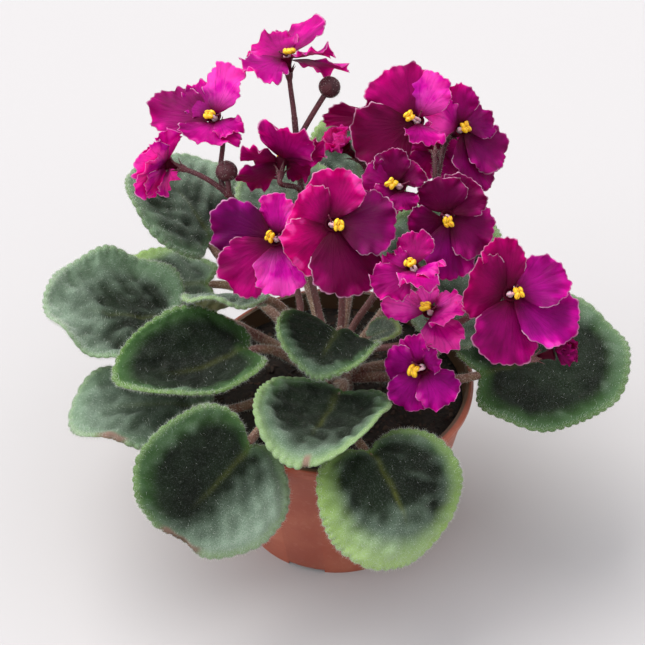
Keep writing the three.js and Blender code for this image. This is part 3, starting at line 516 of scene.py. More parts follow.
# Over the near-black skin lie the green of the outer third, the painted silver sheen of the hairs, the lime
# margin, the yellow midrib and the painted glints of single hairs.
face = add_node(tree, "ShaderNodeMixRGB", {"Fac": deep, "Color1": srgb("070d06"), "Color2": srgb("152213")})
for layer, colour in [(outer, "48703a"), (painted_sheen, "8ca68f"), (lime, "a2c35a"), (yellow, "7b8230"),
                      (light, "c0d0bd")]:
    face = add_node(tree, "ShaderNodeMixRGB", {"Fac": layer, "Color1": face, "Color2": srgb(colour)})
back = add_node(tree, "ShaderNodeMixRGB", {"Fac": deep, "Color1": srgb("8b9a6c"), "Color2": srgb("9a8a66")})
face = add_node(tree, "ShaderNodeMixRGB", {"Fac": upper, "Color1": back, "Color2": face})
face = add_node(tree, "ShaderNodeMixRGB", {"Fac": dry, "Color1": face, "Color2": srgb("8f7468")})
tall = add_node(tree, "ShaderNodeMath", {0: pillow, 1: -1.5}, operation="MULTIPLY")
groove = add_node(tree, "ShaderNodeMath", {0: vein, 1: 0.25}, operation="MULTIPLY")
tall = add_node(tree, "ShaderNodeMath", {0: tall, 1: groove}, operation="SUBTRACT")
bump = add_node(tree, "ShaderNodeBump", {"Height": tall, "Strength": 0.5, "Distance": 0.0006})
bump = add_node(tree, "ShaderNodeBump",
                {"Height": fleck, "Strength": 0.8, "Distance": 0.0004, "Normal": bump})
silk = add_node(tree, "ShaderNodeMapRange", {"Value": painted_sheen, "To Min": 0.03})
skin = add_node(tree, "ShaderNodeBsdfPrincipled",
                {"Base Color": face, "Roughness": 0.62, "IOR": 1.4, "Specular IOR Level": 0.2,
                 "Sheen Weight": silk, "Sheen Roughness": 0.3, "Sheen Tint": srgb("dfeae2"), "Normal": bump})
glow = add_node(tree, "ShaderNodeMixRGB", {"Fac": lime, "Color1": srgb("5d8a24"), "Color2": srgb("b4d63a")})
through = add_node(tree, "ShaderNodeBsdfTranslucent", {"Color": glow, "Normal": bump})
translucency = add_node(tree, "ShaderNodeMapRange", {"Value": rim, "From Min": 0.7, "To Min": 0.1, "To Max": 0.3})
mixed = add_node(tree, "ShaderNodeMixShader", {"Fac": translucency, 1: skin, 2: through})
add_node(tree, "ShaderNodeOutputMaterial", {"Surface": mixed})

# Plant hair: single clear cells, which look white and let light through. A real hair is about 0.03 mm
# thick. Each is drawn three times as thick, and fewer of them stand, so that they still show.
hair_tissue, tree, _ = new_finish("white_plant_hair")
skin = add_node(tree, "ShaderNodeBsdfPrincipled",
                {"Base Color": srgb("e3ebdf"), "Roughness": 0.45, "IOR": 1.4, "Specular IOR Level": 0.5})
through = add_node(tree, "ShaderNodeBsdfTranslucent", {"Color": srgb("f2f7ec")})
mixed = add_node(tree, "ShaderNodeMixShader", {"Fac": 0.45, 1: skin, 2: through})
add_node(tree, "ShaderNodeOutputMaterial", {"Surface": mixed})


def hair_unit(length, width):
    """One hair: a closed three-sided spike that stands on the origin."""
    bm = bmesh.new()
    bmesh.ops.create_cone(bm, cap_ends=True, segments=3, radius1=width / 2, radius2=0, depth=length,
                          matrix=Matrix.Translation((0, 0, length / 2 - 0.05)))
    bmesh.ops.remove_doubles(bm, verts=bm.verts, dist=1e-4)
    return as_object("hair", bm, hair_tissue)


def build_leaf(leaf):
    """A blade: its upper and its lower skin, each with its marks for the material, joined at the edge."""
    axes = blade_axes(leaf)
    length, width = leaf["size"]
    bm = bmesh.new()
    layers = {mark: bm.verts.layers.float.new(mark) for mark in (*LEAF_MARKS, "hairs")}
    segments = round(BLADE_FACES_PER_MM * (length + width)) + 8
    scallops = round(math.pi * (length + width) / 2 / SCALLOP_LENGTH)
    dry_angle, dry_width, dry_depth = leaf.get("dry", (0, 0.01, 0))
    lit_angle, lit_amount = leaf["lit"]
    for side in (1, -1):
        verts = disc_points(bm, segments)
        for vert in verts:
            s, t, _ = vert.co
            share, angle = math.hypot(s, t), math.atan2(s, t)
            uneven = angle + 0.05 * math.sin(5 * angle + length)
            scallop = abs(math.sin(scallops * uneven / 2)) ** 0.6
            edge = smooth(share, 0.86, 1.0)
            reach = share * blade_reach(leaf, angle) + SCALLOP_DEPTH * edge * (scallop - 0.65)
            withered = dry_depth * math.exp(-(((angle - dry_angle) / dry_width) ** 4))
            ragged = 0.7 + 0.6 * noise.noise(Vector((angle * 40, 3, 0)))
            reach -= withered * ragged * edge
            x, y = reach * math.sin(angle), SINUS_SHARE * length + reach * math.cos(angle)
            middle = blade_point(leaf, axes, x, y)
            across = blade_point(leaf, axes, x + 0.2, y) - blade_point(leaf, axes, x - 0.2, y)
            along = blade_point(leaf, axes, x, y + 0.2) - blade_point(leaf, axes, x, y - 0.2)
            normal = across.cross(along).normalized()
            near_midrib, near_vein, phase = vein_marks(leaf, x, y, share)
            half = BLADE_THICKNESS / 2 * math.sqrt(max(0, 1 - share ** 12))
            inner = 1 - smooth(share, 0.8, 1.0)
            quilt = QUILT_HEIGHT * (math.sin(math.pi * phase) ** 2 - 0.5) * smooth(abs(x), 1, 8)
            quilt += PUCKER_HEIGHT * noise.noise(Vector((x, y, 2 * length)) * PUCKER_FINENESS)
            if side > 0:
                bead = BEAD_HEIGHT * scallop * smooth(share, 0.87, 0.93) * (1 - smooth(share, 0.95, 1.0))
                stand = half + (quilt - 0.4 * near_midrib - 0.1 * near_vein) * inner + bead
            else:
                ridge = 1.6 * near_midrib * (1 - 0.6 * max(0, y) / length) + 0.45 * near_vein
                stand = half + (ridge - quilt) * inner
            vert.co = middle + normal * (side * stand)
            vert[layers["rim"]] = share
            vert[layers["midrib"]] = near_midrib
            vert[layers["vein"]] = near_vein
            # The lime margin is painted stronger toward the side where the painted light falls.
            vert[layers["warm"]] = leaf["warm"] * (0.65 + 0.35 * math.cos(angle - lit_angle))
            vert[layers["upper"]] = 1.0 if side > 0 or share > 0.985 else 0.0
            # Painted sheen and shade: the leaf's own amount, more toward its lit side, on the outer third and
            # the edge, on the tops of the quilts and in patches.
            painted_silver = leaf["painted_sheen"] + lit_amount * share * (0.5 + 0.5 * math.cos(angle - lit_angle)) ** 3
            margin = MARGIN_SHEEN * smooth(share, 0.6, 0.95) + EDGE_SHEEN * smooth(share, 0.9, 0.98)
            painted_silver += margin * (1 - near_midrib)
            patchy = PATCHY_LIGHT * noise.noise(Vector((x, y, 3 * length)) * 0.045)
            painted_silver += QUILT_LIGHT_AND_SHADE * quilt * inner + patchy
            painted_silver = min(0.95, max(0, painted_silver))
            vert[layers["painted_sheen"]] = painted_silver
            vert[layers["dry"]] = min(1, withered * 0.8) * smooth(share, 0.8, 0.88)
            hairy = FACE_HAIRS + SHEEN_HAIRS * painted_silver * (side > 0)
            vert[layers["hairs"]] = hairy + EDGE_HAIRS * smooth(share, 0.9, 1.0)
    bmesh.ops.remove_doubles(bm, verts=bm.verts, dist=0.004)
    bmesh.ops.recalc_face_normals(bm, faces=bm.faces)
    return as_object(leaf["name"] + "_blade", bm, leaf_tissue)


LEAF_HAIR_LENGTH = 1.5
LEAF_HAIR_WIDTH = 0.1
LEAF_HAIRS_PER_CM2 = 75
LEAF_HAIR_SEED = 40
hair = hair_unit(LEAF_HAIR_LENGTH, LEAF_HAIR_WIDTH)
for number, leaf in enumerate(LEAVES):
    blade = build_leaf(leaf)
    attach(blade, "root")
    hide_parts(leaf["name"])
    fuzz = scatter(leaf["name"] + "_hairs", blade, hair, LEAF_HAIRS_PER_CM2, LEAF_HAIR_SEED + number,
                   lean=0.55, size=(0.55, 1.25), share="hairs", long_axis=True)
    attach(fuzz, "root")
bpy.data.objects.remove(hair)

# CROWN AND PETIOLES
# The short upright stem, half sunk in the mix, with a thick fleshy petiole arching from it to every blade:
# one living body, brown-mauve outside over pale green, and shaggy with white hairs.
CROWN_RADIUS = 7.5
CROWN_TOP = 88
CROWN_BOTTOM = 60
PETIOLE_RADIUS = 2.3
PETIOLE_FOOT = 5
PETIOLE_DROP = 8
PETIOLE_STEPS = 18
PETIOLE_INSET = 1.2
# Where the petiole runs on under its blade, in mm from the blade's foot, and how deep below it.
UNDER_BLADE = (1, 2.5, 4.5, 7)
UNDER_BLADE_DEPTH = 1.1
# The crown's outline from its foot to its top: [share of its height, share of its radius].
CROWN_OUTLINE = [(0, 0.5), (0.04, 0.62), (0.15, 1), (0.4, 0.92), (0.6, 1.02), (0.9, 1), (0.97, 0.85),
                 (1, 0.55)]
CROWN_DOME = 0.2
CROWN_STEPS = 28

# Fleshy petiole: juicy, slightly translucent tissue, streaked brown-mauve over pale green every 11 mm or so.
# Its hairs give the eye a pale fuzz; hair bases are drawn 0.7 mm apart so that they still show.
petiole_tissue, tree, place = new_finish("fleshy_petiole")
streak = add_node(tree, "ShaderNodeTexNoise", {"Vector": place, "Scale": 90, "Detail": 4, "Roughness": 0.6})
fleck = add_node(tree, "ShaderNodeTexNoise", {"Vector": place, "Scale": 1400, "Detail": 2})
patch = add_node(tree, "ShaderNodeMapRange", {"Value": streak, "From Min": 0.35, "From Max": 0.68})
shade = add_node(tree, "ShaderNodeMixRGB", {"Fac": patch, "Color1": srgb("5e352e"), "Color2": srgb("7b644a")})
light = add_node(tree, "ShaderNodeMapRange",
                 {"Value": fleck, "From Min": 0.52, "From Max": 0.75, "To Max": 0.5})
shade = add_node(tree, "ShaderNodeMixRGB", {"Fac": light, "Color1": shade, "Color2": srgb("c9b7a8")})
bump = add_node(tree, "ShaderNodeBump", {"Height": fleck, "Strength": 0.6, "Distance": 0.0003})
skin = add_node(tree, "ShaderNodeBsdfPrincipled",
                {"Base Color": shade, "Roughness": 0.55, "IOR": 1.4, "Subsurface Weight": 0.15,
                 "Subsurface Radius": (1.0, 0.35, 0.2), "Subsurface Scale": 0.002, "Sheen Weight": 0.5,
                 "Sheen Roughness": 0.4, "Sheen Tint": srgb("e8dcd6"), "Normal": bump})
add_node(tree, "ShaderNodeOutputMaterial", {"Surface": skin})


def cubic(a, b, c, d, steps):
    """Points along a curve that leaves a toward b and comes to d from c."""
    points = []
    for k in range(steps + 1):
        t = k / steps
        u = 1 - t
        points.append(a * u ** 3 + b * (3 * u * u * t) + c * (3 * u * t * t) + d * t ** 3)
    return points


def tubes(lines, resolution=3):
    """A mesh in millimetres of round closed tubes; each line is a list of (point, radius)."""
    curve = bpy.data.curves.new("tubes", "CURVE")
    curve.dimensions = "3D"
    curve.bevel_depth = 1.0
    curve.bevel_resolution = resolution
    curve.use_fill_caps = True
    for line in lines:
        spline = curve.splines.new("POLY")
        spline.points.add(len(line) - 1)
        for point, (place, radius) in zip(spline.points, line):
            point.co = (*place, 1)
            point.radius = radius
    holder = bpy.data.objects.new("tubes", curve)
    bpy.context.scene.collection.objects.link(holder)
    depsgraph = bpy.context.evaluated_depsgraph_get()
    mesh = bpy.data.meshes.new_from_object(holder.evaluated_get(depsgraph), depsgraph=depsgraph)
    bpy.data.objects.remove(holder)
    bpy.data.curves.remove(curve)
    return mesh


def take_in(bm, mesh):
    """Adds a mesh to a bmesh and does away with it."""
    bm.from_mesh(mesh)
    bpy.data.meshes.remove(mesh)


def join(bm, part):
    """Adds one bmesh to another and does away with it."""
    mesh = bpy.data.meshes.new("part")
    part.to_mesh(mesh)
    part.free()
    take_in(bm, mesh)


def tapered(points, start, end):
    """Gives each point its radius, from start to end."""
    last = len(points) - 1
    return [(point, start + (end - start) * k / last) for k, point in enumerate(points)]


lines = []
for leaf in LEAVES:
    along, across, out = blade_axes(leaf)
    end = blade_point(leaf, (along, across, out), 0, 0) - along * PETIOLE_INSET
    distance = math.hypot(end.x, end.y)
    sideways = Vector((end.x / distance, end.y / distance, 0))
    foot = sideways * PETIOLE_FOOT + Vector((0, 0, CROWN_TOP - PETIOLE_DROP))
    rise = (end.z - foot.z) * 0.4 + 3
    first = foot + sideways * (distance * 0.35) + Vector((0, 0, rise))
    second = end - along * (distance * 0.3)
    points = cubic(foot, first, second, end, PETIOLE_STEPS)
    line = tapered(points, PETIOLE_RADIUS * 1.15, PETIOLE_RADIUS * 0.8)
    for step in UNDER_BLADE:
        under = blade_point(leaf, (along, across, out), 0, step)
        line.append((under - out * UNDER_BLADE_DEPTH, PETIOLE_RADIUS * (0.8 - 0.07 * step)))
    lines.append(line)
bm = bmesh.new()
take_in(bm, tubes(lines))
stem_bm = bmesh.new()
height = CROWN_TOP - CROWN_BOTTOM
profile = [(width * CROWN_RADIUS, CROWN_BOTTOM + share * height) for share, width in CROWN_OUTLINE]
lathe(stem_bm, [(0, CROWN_BOTTOM)] + profile + [(0, CROWN_TOP + CROWN_DOME)], CROWN_STEPS)
join(bm, stem_bm)
for vert in bm.verts:
    vert.co += vert.normal * noise.noise(vert.co * 0.4) * 0.25
crown = as_object("crown_and_petioles", bm, petiole_tissue)
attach(crown, "root")
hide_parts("crown")
PETIOLE_HAIR_LENGTH = 1.5
PETIOLE_HAIR_WIDTH = 0.09
PETIOLE_HAIRS_PER_CM2 = 100
PETIOLE_HAIR_SEED = 90
hair = hair_unit(PETIOLE_HAIR_LENGTH, PETIOLE_HAIR_WIDTH)
fuzz = scatter("petiole_hairs", crown, hair, PETIOLE_HAIRS_PER_CM2, PETIOLE_HAIR_SEED, lean=0.5,
               size=(0.5, 1.2), long_axis=True)
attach(fuzz, "root")

# BLOOMS
# Fifteen open flowers of a ruffled single violet. Each corolla is one body: five thin petals, joined at
# the throat into a short tube, crimped along the edge and pleated toward it.
PETAL_THICKNESS = 0.5
PETAL_MIDDLE = 0.55
PETAL_FRILLS = 3
FRILL_HEIGHT = 1.1
PETAL_TWIST = 16
PETAL_START = 2.1
PETAL_SEGMENTS = 30
PETAL_FULLNESS = 0.07
# Each ruffle: waves round the outline, how far it stands off the petal, how far it reaches out of its
# outline as a share of the petal's size, and how closely it keeps to the edge.
RUFFLES = [(4, 1.2, 0.05, 2.5), (8, 1.1, 0.06, 4), (13, 0.5, 0.06, 6), (24, 0.26, 0.05, 9)]
PLEAT_COUNT = 14
PLEAT_HEIGHT = 0.5
PETAL_MARKS = ("rim", "depth", "fan", "tone", "painted_light")
THROAT_RADIUS = 3.2
THROAT_HEIGHT = 1
TUBE_LENGTH = 6
TUBE_RADIUS = 1.6
TUBE_FOOT = 1.2
TUBE_STEPS = 20
BLOOM_SEED = 100

# at: the throat; facing: azimuth and elevation of the way it looks; each petal is [angle clockwise from
# its top, reach, width, lift toward the front in degrees]; anthers: how far they hang to the right and top;
# glow: the painted light on each petal, from burgundy in painted shade to hot magenta where painted lit;
# tone: its hue, from crimson to purple.
BLOOMS = [
    dict(name="bloom_1", at=(-52, 58, 177), facing=(-138, 70), anthers=(-1.5, -1),
         petals=[(-112, 32, 22, 0), (-80, 21, 16, 5), (-16, 24, 24, 35), (88, 14, 14, -5), (147, 14, 27, 0)],
         glow=(0.22, 0.35, 1, 0.6, 0.55), tone=(0.6, 0.8, 1, 0.8, 0.7)),
    dict(name="bloom_2", at=(-72, 51, 158), facing=(145, -5), anthers=(0, 0),
         petals=[(15, 17, 20, 0), (55, 21, 20, 0), (90, 20, 22, 5), (125, 17, 20, 8), (170, 14, 18, 5)],
         glow=(1, 1, 1, 1, 0.9), tone=(0.9, 1, 0.9, 0.9, 0.9)),
    dict(name="bloom_3", at=(-21, 75, 196), facing=(105, 68), anthers=(-1, 0),
         petals=[(-152, 33, 27, 15), (-105, 30, 18, -22), (-56, 20, 23, 9), (64, 21, 23, -5),
                 (170, 27, 22, 9)],
         glow=(0.6, 0.45, 0.35, 0.4, 0.55), tone=(0.7, 0.8, 0.8, 0.8, 0.6)),
    dict(name="bloom_4", at=(-23, 42, 166), facing=(84, 12), anthers=(0, 0),
         petals=[(-113, 13, 16, 0), (-55, 22, 13, 0), (-9, 23, 26, 0), (79, 18, 19, 0), (135, 25, 20, 0)],
         glow=(0.15, 0.2, 0.35, 0.25, 0.2), tone=(0.4, 0.5, 0.6, 0.5, 0.5)),
    dict(name="bloom_5", at=(-25, 5, 154), facing=(-119, 44), anthers=(-2, 0),
         petals=[(-152, 29, 26, 0), (-95, 30, 25, 5), (-9, 19, 20, 20), (57, 11, 16, 0), (152, 24, 22, 0)],
         glow=(0.25, 0.05, 0.7, 0.6, 1), tone=(0.4, 1, 0.8, 0.7, 1)),
    dict(name="bloom_6", at=(-2, 1, 165), facing=(-85, 51), anthers=(2.5, -1),
         petals=[(-130, 23, 26, 0), (-60, 18, 24, 10), (9, 23, 24, 15), (91, 26, 30, 5), (165, 31, 32, 0)],
         glow=(0.5, 0.5, 0.5, 0.06, 0.04), tone=(0.2, 0.3, 0.3, 0.7, 0.4)),
    dict(name="bloom_7", at=(34, 53, 179), facing=(-79, 59), anthers=(-3.5, 1.5),
         petals=[(-109, 30, 30, 0), (-76, 40, 12, -10), (-29, 25, 30, 15), (31, 22, 20, 30),
                 (174, 17, 18, 30)],
         glow=(0.06, 0.08, 0.3, 0.95, 0.6), tone=(0.3, 0.3, 0.4, 1, 0.7)),
    dict(name="bloom_8", at=(53, 59, 170), facing=(-57, 50), anthers=(1.5, 0),
         petals=[(-176, 28, 22, 0), (-46, 17, 18, 15), (9, 20, 18, 20), (84, 16, 20, 5), (144, 24, 26, 0)],
         glow=(0.1, 0.9, 0.3, 0.12, 0.15), tone=(0.7, 0.8, 0.7, 0.8, 0.7)),
    dict(name="bloom_9", at=(26, 25, 166), facing=(-100, 53), anthers=(-3, 0),
         petals=[(-145, 13, 16, 0), (-91, 16, 20, 0), (-26, 16, 16, 20), (40, 12, 15, 10), (157, 11, 14, 0)],
         glow=(0.4, 0.2, 0.06, 0.1, 0.4), tone=(0.6, 0.6, 0.5, 0.5, 0.6)),
    dict(name="bloom_10", at=(46, 18, 155), facing=(-83, 39), anthers=(0, -2),
         petals=[(180, 26, 25, 0), (-116, 17, 22, 0), (-10, 17, 22, 10), (39, 19, 22, 5), (122, 21, 25, 0)],
         glow=(0.25, 0.06, 0.06, 0.06, 0.12), tone=(0.9, 0.6, 0.5, 0.5, 0.6)),
    dict(name="bloom_11", at=(31, -17, 156), facing=(-117, 78), anthers=(-2, 1),
         petals=[(-147, 19, 18, 0), (-92, 14, 14, 0), (-24, 17, 17, 15), (98, 13, 17, 30), (145, 26, 17, 35)],
         glow=(0.35, 0.3, 0.35, 0.85, 0.6), tone=(0.6, 0.6, 0.5, 0.9, 0.7)),
    dict(name="bloom_12", at=(71, -16, 142), facing=(-81, 47), anthers=(3, 0),
         petals=[(-167, 29, 30, 0), (-68, 19, 28, 5), (-8, 24, 18, 15), (74, 25, 23, 0), (124, 31, 28, 0)],
         glow=(0.25, 0.2, 0.28, 0.34, 0.38), tone=(0.6, 0.3, 0.3, 0.9, 1)),
    dict(name="bloom_13", at=(35, -31, 115), facing=(-104, 35), anthers=(-3, -1.5),
         petals=[(-165, 19, 19, 0), (-92, 15, 18, 0), (-28, 15, 13, 15), (43, 11, 12, 25), (134, 19, 19, 0)],
         glow=(0.25, 0.3, 0.35, 0.25, 0.35), tone=(1, 1, 0.9, 0.9, 1)),
    dict(name="bloom_14", at=(39, -9, 126), facing=(-139, 66), anthers=(-2, 0),
         petals=[(-111, 23, 14, 0), (-60, 12, 14, 15), (20, 14, 14, 5), (72, 20, 20, 30), (110, 22, 18, 0)],
         glow=(1, 0.8, 0.9, 0.9, 0.8), tone=(0.8, 0.8, 0.8, 0.8, 0.8)),
    dict(name="bloom_15", at=(44, 73, 149), facing=(84, -24), anthers=(0, 0),
         petals=[(-138, 16, 18, 0), (-71, 16, 18, 0), (6, 12, 14, 0), (77, 12, 14, 0), (148, 14, 18, 0)],
         glow=(0.3, 0.3, 0.3, 0.3, 0.3), tone=(0.6, 0.6, 0.6, 0.6, 0.6)),
]

# Violet petal: translucent tissue of tiny domed cells. It reflects purple, glows hot magenta where light
# comes through, is burgundy toward the throat, and has a hair-thin pale pink edge, broken every 6 mm or so.
# Each petal also carries painted light, from a shaded burgundy to a lit hot magenta, with a painted pink
# highlight where it is brightest; this painted light is cloudy over about 14 mm.
PALE_RIM = 0.96
petal_tissue, tree, place = new_finish("magenta_petal")
rim, depth, fan, tone, painted_light = [
    add_node(tree, "ShaderNodeAttribute", attribute_name=mark).outputs["Fac"] for mark in PETAL_MARKS]
mottle = add_node(tree, "ShaderNodeTexNoise", {"Vector": place, "Scale": 160, "Detail": 4, "Roughness": 0.6})
# The domed cells are 0.05 mm wide; they are drawn at 0.4 mm so that they still show.
cells = add_node(tree, "ShaderNodeTexNoise", {"Vector": place, "Scale": 2400, "Detail": 2})
far = add_node(tree, "ShaderNodeMapRange",
               {"Value": depth, "From Min": 0.02, "From Max": 0.6}, interpolation_type="SMOOTHSTEP")
# Fine veins fan out from the throat, about fifty to a petal.
ray = add_node(tree, "ShaderNodeCombineXYZ", {"X": fan, "Y": depth, "Z": tone})
ray = add_node(tree, "ShaderNodeVectorMath", {0: ray, 1: (11, 2.2, 9)}, operation="MULTIPLY")
veins = add_node(tree, "ShaderNodeTexNoise", {"Vector": ray, "Scale": 1.0, "Detail": 3, "Roughness": 0.65})
# The painted light runs from a shaded burgundy to a lit hot magenta.
dark = add_node(tree, "ShaderNodeMixRGB", {"Fac": tone, "Color1": srgb("5e0029"), "Color2": srgb("4c003f")})
vivid = add_node(tree, "ShaderNodeMixRGB", {"Fac": tone, "Color1": srgb("ff0084"), "Color2": srgb("ff14d8")})
cloudy = add_node(tree, "ShaderNodeTexNoise", {"Vector": place, "Scale": 70, "Detail": 3})
cloudy = add_node(tree, "ShaderNodeMapRange",
                  {"Value": cloudy, "From Min": 0.35, "From Max": 0.65, "To Min": 0.55, "To Max": 1.4})
painted_light = add_node(tree, "ShaderNodeMath", {0: painted_light, 1: cloudy}, operation="MULTIPLY", use_clamp=True)
painted_light_colour = add_node(tree, "ShaderNodeMixRGB", {"Fac": painted_light, "Color1": dark, "Color2": vivid})
# A painted pink highlight on the brightest petals.
painted_highlight = add_node(tree, "ShaderNodeMapRange", {"Value": painted_light, "From Min": 0.75, "To Max": 0.5})
painted_light_colour = add_node(tree, "ShaderNodeMixRGB", {"Fac": painted_highlight, "Color1": painted_light_colour, "Color2": srgb("ff7eea")})
face = add_node(tree, "ShaderNodeMixRGB", {"Fac": far, "Color1": srgb("40001a"), "Color2": painted_light_colour})
line = add_node(tree, "ShaderNodeMapRange",
                {"Value": veins, "From Min": 0.5, "From Max": 0.74, "To Max": 0.45})
pale = add_node(tree, "ShaderNodeMapRange",
                {"Value": rim, "From Min": PALE_RIM, "From Max": 0.992, "To Max": 0.8},
                interpolation_type="SMOOTHSTEP")
broken = add_node(tree, "ShaderNodeMapRange",
                  {"Value": mottle, "From Min": 0.35, "From Max": 0.6, "To Min": 0.25})
pale = add_node(tree, "ShaderNodeMath", {0: pale, 1: broken}, operation="MULTIPLY")
# The colour let through is painted brighter where the petal is painted lit.
hot = add_node(tree, "ShaderNodeMixRGB", {"Fac": painted_light, "Color1": srgb("b4004c"), "Color2": srgb("ff1ec8")})
for layer, colour, lit_colour in [(line, "5a0034", "90004c"), (pale, "ffd0f0", "ffd0f0")]:
    face = add_node(tree, "ShaderNodeMixRGB", {"Fac": layer, "Color1": face, "Color2": srgb(colour)})
    hot = add_node(tree, "ShaderNodeMixRGB", {"Fac": layer, "Color1": hot, "Color2": srgb(lit_colour)})
bump = add_node(tree, "ShaderNodeBump", {"Height": veins, "Strength": 0.5, "Distance": 0.001})
bump = add_node(tree, "ShaderNodeBump",
                {"Height": cells, "Strength": 0.4, "Distance": 0.0003, "Normal": bump})
skin = add_node(tree, "ShaderNodeBsdfPrincipled",
                {"Base Color": face, "Roughness": 0.42, "IOR": 1.4, "Specular IOR Level": 0.12,
                 "Sheen Weight": 0.05, "Sheen Roughness": 0.4, "Sheen Tint": srgb("ff4cc8"), "Normal": bump})
through = add_node(tree, "ShaderNodeBsdfTranslucent", {"Color": hot, "Normal": bump})
translucency = add_node(tree, "ShaderNodeMapRange", {"Value": depth, "To Min": 0.2, "To Max": 0.45})
# More light is let through where the petal is painted lit.
translucency = add_node(tree, "ShaderNodeMath", {0: painted_light, 1: 0.25, 2: translucency}, operation="MULTIPLY_ADD")
mixed = add_node(tree, "ShaderNodeMixShader", {"Fac": translucency, 1: skin, 2: through})
add_node(tree, "ShaderNodeOutputMaterial", {"Surface": mixed})


def bloom_axes(bloom):
    """To its right as seen from the front, to its top, and out of its face."""
    out = direction(*bloom["facing"])
    right = Vector((0, 0, 1)).cross(out).normalized()
    return right, out.cross(right), out


def petal_point(bloom, axes, petal, s, t, ruffling):
    """A point of a petal's middle surface: s across it and t along it, both from -1 to 1 from its middle.
    ruffling: a turn for each ruffle, the edge's curl, the dome of the middle and the height of the pleats."""
    right, top, out = axes
    angle, reach, width, lift = petal
    share, turn = math.hypot(s, t), math.atan2(s, t)
    inward = t < 0
    narrow = 1 - 0.5 * t * t if inward else 1
    x = s * narrow * width / 2
    middle = PETAL_MIDDLE * reach
    y = middle + t * (middle - PETAL_START if inward else reach - middle)
    height = FRILL_HEIGHT * share ** 4 * (0.4 if inward else 1)
    frill = height * math.sin(PETAL_FRILLS * turn + angle)
    outer = smooth(t, -0.75, 0.0)
    turns, curl, dome, pleats = ruffling
    stretch = 1 + PETAL_FULLNESS * math.sin(2 * turn) ** 2 * share ** 4 * outer
    for (count, stand, spread, power), start in zip(RUFFLES, turns):
        phase = count * turn + start + 0.9 * math.sin(2 * turn + 2 * start)
        frill += stand * math.sin(phase + 0.3 * math.sin(2 * phase)) * share ** power * outer
        stretch += spread * (abs(math.sin(phase / 2)) - 0.6) * share ** power * outer
    fan = math.atan2(s, t + 1.2)
    frill += PLEAT_HEIGHT * pleats * math.sin(PLEAT_COUNT * fan + turns[0]) * smooth(share, 0.25, 1) * outer
    frill += curl * smooth(share, 0.7, 1.0) * outer * (0.6 + 0.4 * math.sin(4 * turn + turns[1]))
    frill += dome * (1 - share * share)
    x, y = x * stretch, middle + (y - middle) * stretch
    rise, roll = math.radians(lift), math.radians(PETAL_TWIST)
    z = x * math.sin(roll) + frill
    along = y * math.cos(rise) - z * math.sin(rise)
    across = x * math.cos(roll)
    a = math.radians(angle)
    return (Vector(bloom["at"]) + right * (along * math.sin(a) + across * math.cos(a))
            + top * (along * math.cos(a) - across * math.sin(a))
            + out * (y * math.sin(rise) + z * math.cos(rise)))


def draw_ruffling(rng):
    """One petal's own turns, curl, dome and pleats."""
    turns = [rng.uniform(0, 6.28) for _ in RUFFLES]
    return turns, rng.uniform(-1.3, 1.3), rng.uniform(-1.4, 0.9), rng.random()


def add_petal(bm, layers, bloom, axes, petal, ruffling, tone, painted_light):
    """Adds a petal's front and back, with their marks for the material."""
    for side in (1, -1):
        for vert in disc_points(bm, PETAL_SEGMENTS, fine_rim=True):
            s, t, _ = vert.co
            share, turn = math.hypot(s, t) ** 0.85, math.atan2(s, t)
            turn -= 0.3 * math.sin(turn)
            s, t = share * math.sin(turn), share * math.cos(turn)
            middle = petal_point(bloom, axes, petal, s, t, ruffling)
            across = (petal_point(bloom, axes, petal, s + 0.01, t, ruffling)
                      - petal_point(bloom, axes, petal, s - 0.01, t, ruffling))
            along = (petal_point(bloom, axes, petal, s, t + 0.01, ruffling)
                     - petal_point(bloom, axes, petal, s, t - 0.01, ruffling))
            half = PETAL_THICKNESS / 2 * math.sqrt(max(0, 1 - share ** 10))
            vert.co = middle + across.cross(along).normalized() * (side * half)
            vert[layers["rim"]] = share * smooth(t, -0.8, -0.4)
            from_throat = PETAL_MIDDLE * (1 + t) if t < 0 else PETAL_MIDDLE + t * (1 - PETAL_MIDDLE)
            vert[layers["depth"]] = min(1, from_throat)
            vert[layers["fan"]] = math.atan2(s, t + 1.15) + 3
            vert[layers["tone"]] = tone
            # Painted light, spreading from each petal's own amount in flares toward the edge.
            painted_flare = noise.noise(Vector((3 * turn, 7 * tone + 13 * painted_light, bloom["at"][0] + 2 * share))) + 0.3
            painted_flare = max(0, painted_flare) * min(0.85, 0.3 + 1.2 * painted_light)
            vert[layers["painted_light"]] = min(1, painted_light + painted_flare * smooth(share, 0.5, 0.95))


def add_corolla_tube(bm, layers, bloom, axes):
    """The short tube behind the petals, open at the throat."""
    right, top, out = axes
    section = bmesh.new()
    lathe(section, [(0, -TUBE_LENGTH), (TUBE_FOOT, -TUBE_LENGTH), (TUBE_RADIUS, -2.4), (2.3, -0.6),
                    (THROAT_RADIUS, THROAT_HEIGHT - 0.5), (THROAT_RADIUS - 0.3, THROAT_HEIGHT),
                    (2.2, 0.1), (1.2, -1.2), (0, -1.6)], TUBE_STEPS)
    turn = Matrix((right, top, out)).transposed().to_4x4()
    bmesh.ops.transform(section, matrix=Matrix.Translation(bloom["at"]) @ turn, verts=section.verts)
    known = set(bm.verts)
    join(bm, section)
    for vert in bm.verts:
        if vert not in known:
            vert[layers["depth"]] = 0.1


def finish_corolla(bm, layers, bloom, axes):
    """Closes the petals' edges, adds the tube and makes the flower an object."""
    bmesh.ops.remove_doubles(bm, verts=bm.verts, dist=0.002)
    bmesh.ops.recalc_face_normals(bm, faces=bm.faces)
    add_corolla_tube(bm, layers, bloom, axes)
    return as_object(bloom["name"] + "_corolla", bm, petal_tissue)


